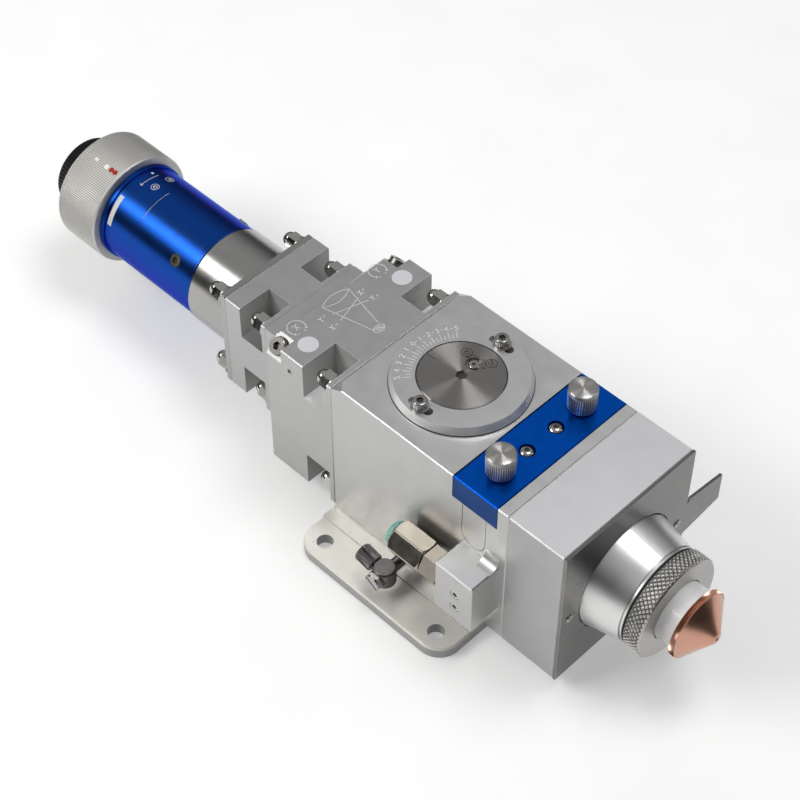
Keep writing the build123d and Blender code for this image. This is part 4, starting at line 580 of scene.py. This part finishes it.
lock_case = [
    arc(0, 0, 0.5, 0, 360, 24), [(-0.22, -0.2), (-0.22, 0.08), (0.22, 0.08), (0.22, -0.2), (-0.22, -0.2)],
]
signs = {
    "0": [arc(0, 0, 0.3, 0, 360, 20, 1.6)],
    "1": [[(-0.18, 0.3), (0.02, 0.5), (0.02, -0.5)]],
    "2": [[(-0.28, 0.3), (-0.15, 0.47), (0.12, 0.48), (0.28, 0.28), (0.2, 0.05), (-0.28, -0.5), (0.3, -0.5)]],
    "3": [[
        (-0.26, 0.42), (0.0, 0.5), (0.25, 0.33), (0.18, 0.08), (-0.05, 0.02), (0.22, -0.08), (0.28, -0.32),
        (0.0, -0.5), (-0.28, -0.4),
    ]],
    "4": [[(0.12, -0.5), (0.12, 0.5), (-0.3, -0.18), (0.32, -0.18)]],
    "5": [[
        (0.26, 0.5), (-0.22, 0.5), (-0.26, 0.08), (0.05, 0.12), (0.28, -0.1), (0.22, -0.38), (-0.02, -0.5),
        (-0.28, -0.4),
    ]],
    "-": [[(-0.22, 0), (0.22, 0)]],
    "+": [[(-0.22, 0), (0.22, 0)], [(0, -0.22), (0, 0.22)]],
    "X": [[(-0.3, -0.5), (0.3, 0.5)], [(-0.3, 0.5), (0.3, -0.5)]],
    "Y": [[(-0.3, 0.5), (0, 0.05), (0.3, 0.5)], [(0, 0.05), (0, -0.5)]],
    "shut": lock_case + [arc(0, 0.08, 0.15, 0, 180, 10)],
    "open": lock_case + [arc(-0.2, 0.08, 0.14, 0, 180, 10)],
}


def sign(name, cu, cv, size, turn=0.0):
    return [moved(line, cu, cv, size, turn) for line in signs[name]]


def flat_top(height):
    return lambda u, v, rise: Vector((u, v, height + rise))


def on_round(radius):
    """u is the turn in degrees from the top towards the right side, v the place along the beam."""
    def place(u, v, rise):
        turn = u / radius
        return Vector((v, sin(turn) * (radius + rise), beam_z + cos(turn) * (radius + rise)))
    return place


# Thumb screws: straight knurl under a turned face
knob_foot, knob_low, knob_top = 37.65, body_top + 0.3, 86.9
knob_profile = [
    (knob_foot, 0, 0), (knob_foot, 2.0, 0), (knob_low, 2.0, 0), (knob_low, 4.8, 0), (knob_low + 0.5, 5.25, 0),
    (knob_low + 0.9, knob_r, knob_knurl), (knob_top - 2.3, knob_r, knob_knurl), (knob_top - 2.0, 5.3, 0.1),
    (knob_top - 1.8, 5.1, 0), (knob_top - 1.4, 5.1, 0), (knob_top - 1.1, 5.45, 0), (knob_top - 0.4, 5.45, 0),
    (knob_top - 0.15, 5.3, 0), (knob_top, 5.0, 0), (knob_top, 3.4, 0), (knob_top, 1.6, 0), (knob_top, 0, 0),
]
for side, y in (("left", -knob_y), ("right", knob_y)):
    turned_knob = finish_of(
        f"turned_knob_{side}", (0.5, 0.49, 0.475), 1.0, 0.32, grain_depth=0.0002,
        turned=("Z", (drawer_x, y, 0)), pitch=0.12, turned_depth=0.0008, aniso=0.95, tone=0.04, wear=0.3,
        wear_size=0.12, knurl_shade_and_highlight=(knob_r, knob_knurl, 0.25, 1.1, 77.7, 84.7),
    )
    knob = lathe(
        f"thumb_knob_{side}", upright_line(drawer_x, y), knob_profile, 240, turned_knob, f"thumb_{side}",
        "steel", ribs(40),
    )
    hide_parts(f"thumb_screw_{side}")

# Cap screws of the scale ring with knurled heads and hexagonal sockets
head_low, head_top, head_r, socket_flats = 80.5, 83.5, 2.75, 2.5
socket_r = socket_flats / (2 * cos(pi / 6))
socket_form = hexagon(socket_flats)
cap_screw_profile = [
    (69.1, 0, 0), (69.1, 1.5, 0), (head_low, 1.5, 0), (head_low, 2.45, 0), (head_low + 0.15, 2.7, 0.0),
    (head_low + 0.3, head_r, 0.16), (head_top - 0.55, head_r, 0.16), (head_top - 0.4, 2.68, 0),
    (head_top - 0.12, 2.5, 0), (head_top, 2.3, 0), (head_top, 1.7, 0),
    (head_top, socket_r + 0.05, 1.0, socket_form), (head_top - 0.1, socket_r, 1.0, socket_form),
    (head_top - 1.6, socket_r, 1.0, socket_form), (head_top - 1.9, 0, 0),
]
scale_screw_lines = [upright_line(dial_x, y) for y in (-scale_screw_y, scale_screw_y)]
cap_screws = lathe(
    "scale_cap_screws", scale_screw_lines, cap_screw_profile, 144, turned_steel, "head", "steel", ribs(24)
)
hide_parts("scale_screws")

# Ring nut at the nozzle with its diamond knurl
lock_low, lock_high = 91.85, 99.35
lock_profile = [
    (lock_low, 17.08, 0), (lock_low, 20.2, 0), (lock_low + 0.3, 20.5, 0), (lock_low + 0.5, 20.6, 0),
]
lock_profile += [(x, lock_r, lock_knurl) for x in spaced(lock_low + 0.7, lock_high - 0.8, 34)]
lock_profile += [
    (lock_high - 0.55, 20.6, 0), (lock_high, 20.15, 0), (lock_high, 16.5, 0), (lock_high, 12.55, 0),
    (lock_high - 1.6, 12.55, 0), (lock_high - 1.6, 17.08, 0),
]
ring_nut = lathe(
    "ring_nut_knurled", beam_line, lock_profile, 960, knurled_steel, "lock_ring", "steel", diamonds(64, 2.1),
    True,
)
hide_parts("nozzle_lock_ring")

# Lock ring of the fibre socket with its fine straight knurl
ring_low, ring_high = -213.9, -190.7
ring_profile = [
    (ring_low, 17.3, 0), (ring_low, 24.3, 0), (ring_low + 0.3, 24.6, 0), (ring_low + 0.7, 24.75, 0),
    (ring_low + 1.0, fibre_ring_r, fibre_ring_knurl), (ring_high - 1.0, fibre_ring_r, fibre_ring_knurl),
    (ring_high - 0.8, 24.75, 0), (ring_high - 0.5, 24.7, 0), (ring_high, 24.3, 0), (ring_high, 17.3, 0),
]
fibre_ring = lathe(
    "fibre_ring_knurled", beam_line, ring_profile, 1020, fibre_ring_silver, "fibre_ring", "silver_tube",
    ribs(170), True,
)
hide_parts("fibre_lock_ring")

# Dust cap with moulded ribs and a rolled rim
cap_high = -214.2
cap_end = cap_high - 11.9
cap_profile = [
    (cap_high, 14.05, 0), (cap_high, 16.4, 0), (cap_high - 0.2, 16.6, 0), (cap_high - 2.2, 16.6, 0),
    (cap_high - 2.4, 16.4, 0), (cap_high - 2.5, 15.9, 0), (cap_high - 2.9, 15.9, 0.4),
    (cap_end + 1.1, 15.9, 0.4), (cap_end + 0.6, 15.6, 0.1), (cap_end + 0.2, 15.2, 0), (cap_end, 14.6, 0),
    (cap_end, 13.2, 0), (cap_end + 0.4, 12.8, 0), (cap_end + 0.4, 6, 0), (cap_end + 0.4, 0, 0),
    (cap_end + 1.8, 0, 0), (cap_end + 1.8, 14.05, 0),
]
cap = lathe("cap_ribbed", beam_line, cap_profile, 360, black_plastic, "cap", "black", ribs(60), True)
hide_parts("dust_cap")

# Copper nozzle with its knurled rim
nozzle_low, nozzle_high = 106.8, 117.2
nozzle_profile = [
    (nozzle_low - 8.5, 3.8, 0), (nozzle_low - 8.5, 5.42, 0), (nozzle_low, 5.42, 0), (nozzle_low, 13.3, 0),
    (nozzle_low + 0.15, 13.9, 0.6), (nozzle_low + 0.3, nozzle_rim_r, nozzle_knurl),
    (nozzle_low + 2.15, nozzle_rim_r, nozzle_knurl), (nozzle_low + 2.3, 13.85, 0.5),
    (nozzle_low + 2.4, 13.45, 0), (nozzle_low + 2.6, 13.3, 0),
    (nozzle_high - 0.45, 2.65, 0), (nozzle_high - 0.1, 2.2, 0), (nozzle_high, 2.0, 0), (nozzle_high, 0.95, 0),
    (nozzle_high - 0.15, 0.75, 0), (nozzle_high - 1.6, 0.75, 0),
]
nozzle = lathe("nozzle_turned", beam_line, nozzle_profile, 960, copper, "nozzle", "copper", ribs(96), True)
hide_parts("copper_nozzle")

# Scalloped ring behind the gas nut
seal_profile = [
    (2.7, 3.3, 0), (2.7, 4.9, 0), (2.3, 5.1, 0.3), (1.7, 5.15, 0.7), (1.1, 5.0, 0.7), (0.75, 4.7, 0.5),
    (0.55, 4.3, 0.2), (0.5, 4.0, 0), (0.5, 3.3, 0),
]
gas_ring = lathe(
    "gas_seal_scalloped", gas_line, seal_profile, 120, teal_plastic, "nut", "teal", ribs(10), True
)
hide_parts("gas_seal")

# Knurled nut on the elbow's leg
leg_nut_profile = [
    (4.9, 2.68, 0), (4.9, 3.3, 0), (5.2, 3.6, 0.0), (5.5, 3.75, 0.5), (11.7, 3.75, 0.5), (12.0, 3.6, 0),
    (12.5, 3.2, 0), (12.5, 1.8, 0), (11.5, 1.8, 0), (11.5, 2.68, 0),
]
leg_nut = lathe(
    "leg_nut_knurled", leg_line, leg_nut_profile, 208, gunmetal, "leg_nut", "dark_steel", ribs(26), True
)
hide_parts("elbow_nut")

# Fine dark rings painted as shadow: at the foot of the scale ring, and behind the ring nut
foot_low, foot_high, foot_r = body_top - 0.1, body_top + 0.25, 26.75
foot_profile = [
    (foot_high, foot_r - 0.3, 0), (foot_high, foot_r, 0), (foot_low, foot_r, 0), (foot_low, foot_r - 0.3, 0),
]
dial_line = upright_line(dial_x, 0)
lathe("scale_foot_shadow", dial_line, foot_profile, 180, dark_etch_and_shade, "head", "dark_steel", None, True)
gap_profile = [(91.2, 19.6, 0), (91.2, 20.45, 0), (91.8, 20.45, 0), (91.8, 19.6, 0)]
lathe("nose_groove_shadow", beam_line, gap_profile, 180, seal_rubber_and_shade, "head", "seal", None, True)

# Flat cap on the elbow, over the foot of its neck
elbow_cap_profile = [
    (18.2, 0, 0), (18.2, 4.0, 0), (18.3, 4.2, 0), (18.45, 4.1, 0), (18.6, 3.9, 0), (18.6, 0, 0),
]
lathe("elbow_cap", upright_line(elbow_x, elbow_y), elbow_cap_profile, 96, gunmetal, "elbow", "dark_steel")


# Dark discs in the hexagonal sockets: painted shade at their floors
def socket_floors(name, centres, along, flats, body):
    corner = flats / (2 * cos(pi / 6)) + 0.05
    start = front_way if abs(along.x) < 0.5 else up
    lines = [(Vector(centre), along, start) for centre in centres]
    profile = [(-0.04, 0, 0), (-0.04, corner, 0), (0, corner, 0), (0, 0, 0)]
    lathe(name, lines, profile, 6, dark_etch_and_shade, body, "dark_steel")


scale_shade_discs = [(dial_x, y, head_top - 1.0) for y in (-scale_screw_y, scale_screw_y)]
cover_screw_y, block_screw_z, face_screw_y = (-7.6, 7.6), (35.2, 28.0), (-29.5, 29.5)
socket_floors("scale_socket_shade", scale_shade_discs, up, socket_flats, "head")
socket_floors("dial_socket_shade", [(dial_x, 0, dial_top - 1.1)], up, 4.0, "dial")
socket_floors("dial_lock_socket_shade", [(-6.7, 7.1, 79.35)], up, 1.5, "dial")
socket_floors("cover_socket_shade", [(drawer_x, y, body_top) for y in cover_screw_y], up, 2.0, "drawer")
socket_floors("gas_block_socket_shade", [(37.7, -47.7, z) for z in block_screw_z], left_way, 2.0, "head")
set_screw_x, set_screw_turns, set_screw_shade_r = -146.7, (-53.4, 66.6, 186.6), 20.75
for index, turn in enumerate(set_screw_turns):
    outward = Vector((0, sin(radians(turn)), cos(radians(turn))))
    centre = Vector((set_screw_x, 0, beam_z)) + outward * set_screw_shade_r
    socket_floors(f"set_screw_socket_shade_{index}", [centre], outward, 2.2, "head")
socket_floors("face_socket_shade", [(75.4, y, beam_z) for y in face_screw_y], front_way, 0.9, "head")

# Blue band at the barrel's nose
band_profile = [
    (-137.55, 20.3, 0), (-137.55, 21.0, 0), (-137.3, 21.25, 0), (-136.1, 21.25, 0), (-135.85, 21.0, 0),
    (-135.85, 20.3, 0),
]
lathe("barrel_nose_band", beam_line, band_profile, 240, blue_turned, "head", "blue", None, True)

# Scale on the ring: ticks at half units, numbers at whole ones
scale_mid, unit_turn, dash_turn, units = 183.5, 9.0, 4.4, 5
tick_inner, tick_long, tick_short, number_r, number_size = 18.2, 21.4, 20.1, 23.3, 2.1


def on_scale(degrees, r):
    return (dial_x + r * cos(radians(degrees)), r * sin(radians(degrees)))


scale_lines, tick_lines = [], []
for half_unit in range(-2 * units, 2 * units + 1):
    turn = scale_mid + half_unit * unit_turn / 2
    tick_outer = tick_short if half_unit % 2 else tick_long
    tick_lines.append([on_scale(turn, tick_inner), on_scale(turn, tick_outer)])
for unit in range(-units, units + 1):
    turn = scale_mid + unit * unit_turn
    scale_lines += sign(str(abs(unit)), *on_scale(turn, number_r), number_size, turn - 90)
    if unit < 0:
        scale_lines += sign("-", *on_scale(turn + dash_turn, number_r), number_size, turn - 90)
strokes("scale_numbers", scale_lines, flat_top(dial_top), 0.26, etched, "scale", "white")
strokes("scale_ticks", tick_lines, flat_top(dial_top), 0.2, etched, "scale", "white")

# Marks on the dial: pointer line, arc with arrow heads, and two lock signs
pointer_turn, pointer_reach = 185.0, (12.0, 16.1)
lock_x, lock_y, lock_arc_r, lock_size = dial_x - 0.6, 7.1, 4.0, 4.2
dial_marks = [
    [on_scale(pointer_turn, r) for r in pointer_reach],
    arc(lock_x, lock_y, lock_arc_r, 100, 175, 14),
    arc(lock_x, lock_y, lock_arc_r, 5, 80, 14),
]
dial_marks += arrow_heads(lock_x, lock_y, lock_arc_r, 5, 175, 28)
dial_marks += sign("shut", -12.4, 9.3, lock_size, 35) + sign("open", -2.2, 11.6, lock_size, -18)
strokes("dial_marks", dial_marks, flat_top(dial_top), 0.32, dark_etch_and_shade, "dial", "dark_steel", rise=0.02)

# Engraving on the adjuster: lens, cone of light, spot, axes and the turning arrows of the two screws
engraved = [
    arc(-60.6, -0.9, 12.2, 146, 214, 24),
    [(-70.6, 6.0), (-50.0, 1.4)],
    [(-70.6, -7.8), (-48.9, -2.7)],
    [(-65.4, -7.7), (-61.2, 7.0)],
    [(-61.0, -7.6), (-64.9, 5.6)],
    arc(-47.9, -0.4, 1.6, 0, 360, 28, 1.65),
    arc(-80.6, -0.9, 12.1, -34, 34, 24),
]
engraved += [[(-48.9, shift - 1.3), (-46.9, shift + 0.7)] for shift in (-1.4, -0.5, 0.4, 1.3)]
strokes("adjuster_drawing", engraved, flat_top(adjuster_top), 0.21, etched, "head", "white")

axis_turn = 90.0
letters = []
for name, x, y, size in (
    ("Y", -66.3, -12.6, 2.4), ("+", -66.9, -10.6, 2.0), ("X", -60.4, -12.4, 2.4), ("-", -60.6, -10.2, 2.6),
    ("X", -66.2, 7.6, 2.4), ("+", -66.6, 9.6, 2.0), ("Y", -60.8, 9.0, 2.4), ("-", -60.6, 11.2, 2.6),
):
    letters += sign(name, x, y, size, axis_turn)
arrow_x, arrow_r, arrow_from, arrow_to = -70.0, 3.6, 38, 322
for name, y in (("X", -21.8), ("Y", 20.6)):
    letters += sign(name, arrow_x - 0.2, y, 3.0, axis_turn)
    letters.append(arc(arrow_x, y, arrow_r, arrow_from, arrow_to, 30))
    letters += arrow_heads(arrow_x, y, arrow_r, arrow_from, arrow_to, 30)
    letters += sign("+", -66.9, y + 1.4, 1.8, axis_turn) + sign("-", -66.9, y - 1.6, 1.8, axis_turn)
strokes("adjuster_letters", letters, flat_top(adjuster_top), 0.27, etched, "head", "white")


# Marks on the barrel, its two fine seams, and a painted highlight along the first seam
def bow(degrees, radius=barrel_r):
    return radians(degrees) * radius


def barrel_marks(name, lines, width, material, slot, rise=0.02):
    strokes(name, lines, on_round(barrel_r), width, material, "head", slot, rise=rise)


def ring_line(x, start, end, count):
    return [(bow(a), x) for a in spaced(start, end, count)]


barrel_marks("barrel_bar", [[(bow(-31), -186.0), (bow(-69), -186.0)]], 2.3, white_paint_and_glint, "white")
barrel_marks("barrel_dot", [[(bow(14) - 0.55, -185.7), (bow(14) + 0.55, -185.7)]], 1.1, white_paint_and_glint, "white")
arrow_line_x, arrow_tip = -183.2, -9
barrel_signs = [ring_line(arrow_line_x, arrow_tip, 17, 12)]
barrel_signs += [
    [(bow(arrow_tip), arrow_line_x), (bow(arrow_tip + 2), arrow_line_x + barb)] for barb in (0.8, -0.8)
]
barrel_signs += sign("shut", bow(0), -178.0, 3.4, 180) + sign("open", bow(23), -178.6, 3.4, 180)
barrel_marks("barrel_signs", barrel_signs, 0.2, etched, "white")
barrel_marks("barrel_seam", [ring_line(-171.3, -179, 179, 120)], 0.16, seam_blue, "blue", 0.015)
# A thin white stroke along the seam: a painted highlight
barrel_marks("barrel_painted_glint", [ring_line(-171.1, -38, 4, 30)], 0.12, white_paint_and_glint, "white", 0.03)
barrel_marks("barrel_short_seam", [ring_line(-152.9, -40, -18, 20)], 0.2, seam_blue, "blue")

# Marks on the fibre lock ring: a dash and three spots in one row
ring_mark_turn = -18
dash_u = bow(ring_mark_turn, fibre_ring_r)
dash_on_ring = [[(dash_u, -206.4), (dash_u, -204.4)]]
strokes("ring_dash", dash_on_ring, on_round(fibre_ring_r), 1.3, white_mark, "fibre_ring", "white", rise=0.03)


def spot(name, turn, x, radius, material, slot, carrier_r, body):
    place = on_round(carrier_r)
    rise, sunk, count = 0.02, -0.3, 20
    middle = bow(turn, carrier_r)
    points = [place(middle, x, rise)]
    for height in (rise, sunk):
        for i in range(count):
            a = 2 * pi * i / count
            points.append(place(middle + radius * cos(a), x + radius * sin(a), height))
    rim = [(1 + i, 1 + (i + 1) % count) for i in range(count)]
    faces = [[0, a, b] for a, b in rim]
    faces += [[a, b, b + count, a + count] for a, b in rim]
    faces.append([a + count for a, b in reversed(rim)])
    return piece(name, points, faces, material, body, slot)


ring_spots = ((-199.0, white_mark, "white"), (-196.1, red_paint, "copper"), (-193.8, red_paint, "copper"))
for index, (x, material, slot) in enumerate(ring_spots):
    spot(f"ring_spot_{index}", ring_mark_turn, x, 1.15, material, slot, fibre_ring_r, "fibre_ring")

# Camera at the photograph's angle
camera_place = Vector((315.45, -355.27, 606.72)) * mm
camera_below, camera_turn = 48.47, 44.80
camera_data = bpy.data.cameras.new("camera")
camera_data.lens = 89.05
camera_data.sensor_width = 36.0
camera_data.clip_start = 0.01
camera_data.clip_end = 50.0
camera = bpy.data.objects.new("camera", camera_data)
camera.location = camera_place
camera.rotation_euler = (radians(90 - camera_below), 0, radians(camera_turn))
bpy.context.scene.collection.objects.link(camera)
bpy.context.scene.camera = camera
bpy.context.scene.view_settings.view_transform = "Standard"

# Floor: pale paper with the object's shadow, lifted to white for camera and gloss, and more so far off
floor_half = 30.0
near, far, lift_near, lift_far = 0.9, 5.0, 0.26, 0.8
paper = Nodes("floor_paper")
paper_tones = paper.spread(paper.noise(40, 3.0), 0, 1)
paper_color = paper.mix(paper_tones, (0.86, 0.86, 0.86, 1), (0.9, 0.9, 0.9, 1))
diffuse = paper.add("ShaderNodeBsdfDiffuse", {"Color": paper_color})
rays = paper.add("ShaderNodeLightPath").outputs
seen = paper.math("MAXIMUM", rays["Is Camera Ray"], rays["Is Glossy Ray"])
seen = paper.math("MAXIMUM", seen, rays["Is Transmission Ray"])
limits = {"From Min": near, "From Max": far, "To Min": lift_near, "To Max": lift_far}
lift = paper.add(
    "ShaderNodeMapRange", {"Value": paper.length(paper.coord), **limits}, interpolation_type="SMOOTHSTEP"
)
glow = paper.add("ShaderNodeEmission", {"Strength": paper.math("MULTIPLY", seen, lift.outputs["Result"])})
both = paper.add("ShaderNodeAddShader", {0: diffuse.outputs[0], 1: glow.outputs[0]})
floor_mesh = bpy.data.meshes.new("floor")
corners = [(x * floor_half, y * floor_half, 0) for x, y in ((-1, -1), (1, -1), (1, 1), (-1, 1))]
floor_mesh.from_pydata(corners, [], [[0, 1, 2, 3]])
floor_mesh.materials.append(paper.surface(both.outputs[0]))
floor = bpy.data.objects.new("floor", floor_mesh)
bpy.context.scene.collection.objects.link(floor)
floor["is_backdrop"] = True

# Pale sky, darker at the horizon and more so in front and at the left
sky_front, sky_left = 0.32, -0.22
sky_limits = {"From Min": 0.08, "From Max": 0.75, "To Min": 0.02, "To Max": 0.44}
world = bpy.data.worlds.new("studio")
world.use_nodes = True
bpy.context.scene.world = world
sky = world.node_tree
background = sky.nodes["Background"]
background.inputs["Color"].default_value = (0.985, 0.99, 1.0, 1)
sky_place = sky.nodes.new("ShaderNodeTexCoord")
sky_parts = sky.nodes.new("ShaderNodeSeparateXYZ")
sky.links.new(sky_place.outputs["Generated"], sky_parts.inputs[0])
sky_level = sky.nodes.new("ShaderNodeMapRange")
sky_level.interpolation_type = "SMOOTHSTEP"
for key, value in sky_limits.items():
    sky_level.inputs[key].default_value = value


def sky_math(operation, a, b):
    node = sky.nodes.new("ShaderNodeMath")
    node.operation = operation
    feed(sky, node.inputs[0], a)
    feed(sky, node.inputs[1], b)
    return node.outputs[0]


front = sky_math("MULTIPLY", sky_math("MAXIMUM", sky_parts.outputs["X"], 0.0), sky_front)
left = sky_math("MULTIPLY", sky_math("MINIMUM", sky_parts.outputs["Y"], 0.0), sky_left)
height = sky_math("SUBTRACT", sky_parts.outputs["Z"], sky_math("ADD", front, left))
sky.links.new(height, sky_level.inputs["Value"])
sky.links.new(sky_level.outputs["Result"], background.inputs["Strength"])

# Soft lamps: a key from the photograph's left, one from the top, and a weak one from the far side
lamp_target = Vector((-0.03, 0, 0.04))


def softbox(name, direction, distance, size, power, tint=(1, 1, 1)):
    light = bpy.data.lights.new(name, "AREA")
    light.shape = "RECTANGLE"
    light.size, light.size_y = size
    light.energy = power
    light.color = tint
    obj = bpy.data.objects.new(name, light)
    way = Vector(direction).normalized()
    obj.location = lamp_target + way * distance
    obj.rotation_euler = way.to_track_quat("Z", "Y").to_euler()
    bpy.context.scene.collection.objects.link(obj)


softbox("key", (-0.467, -0.6, 0.65), 1.3, (0.75, 0.45), 7.4, (1, 0.985, 0.96))
softbox("top", (0.13, 0.24, 0.96), 1.35, (0.5, 0.5), 5.2)
softbox("side", (0.62, 0.65, 0.45), 1.5, (0.3, 0.8), 0.9)

boxes = {"cad": cad_box, "visual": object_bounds()}
{k: [list(map(float, corner)) for corner in v] for k, v in boxes.items()}
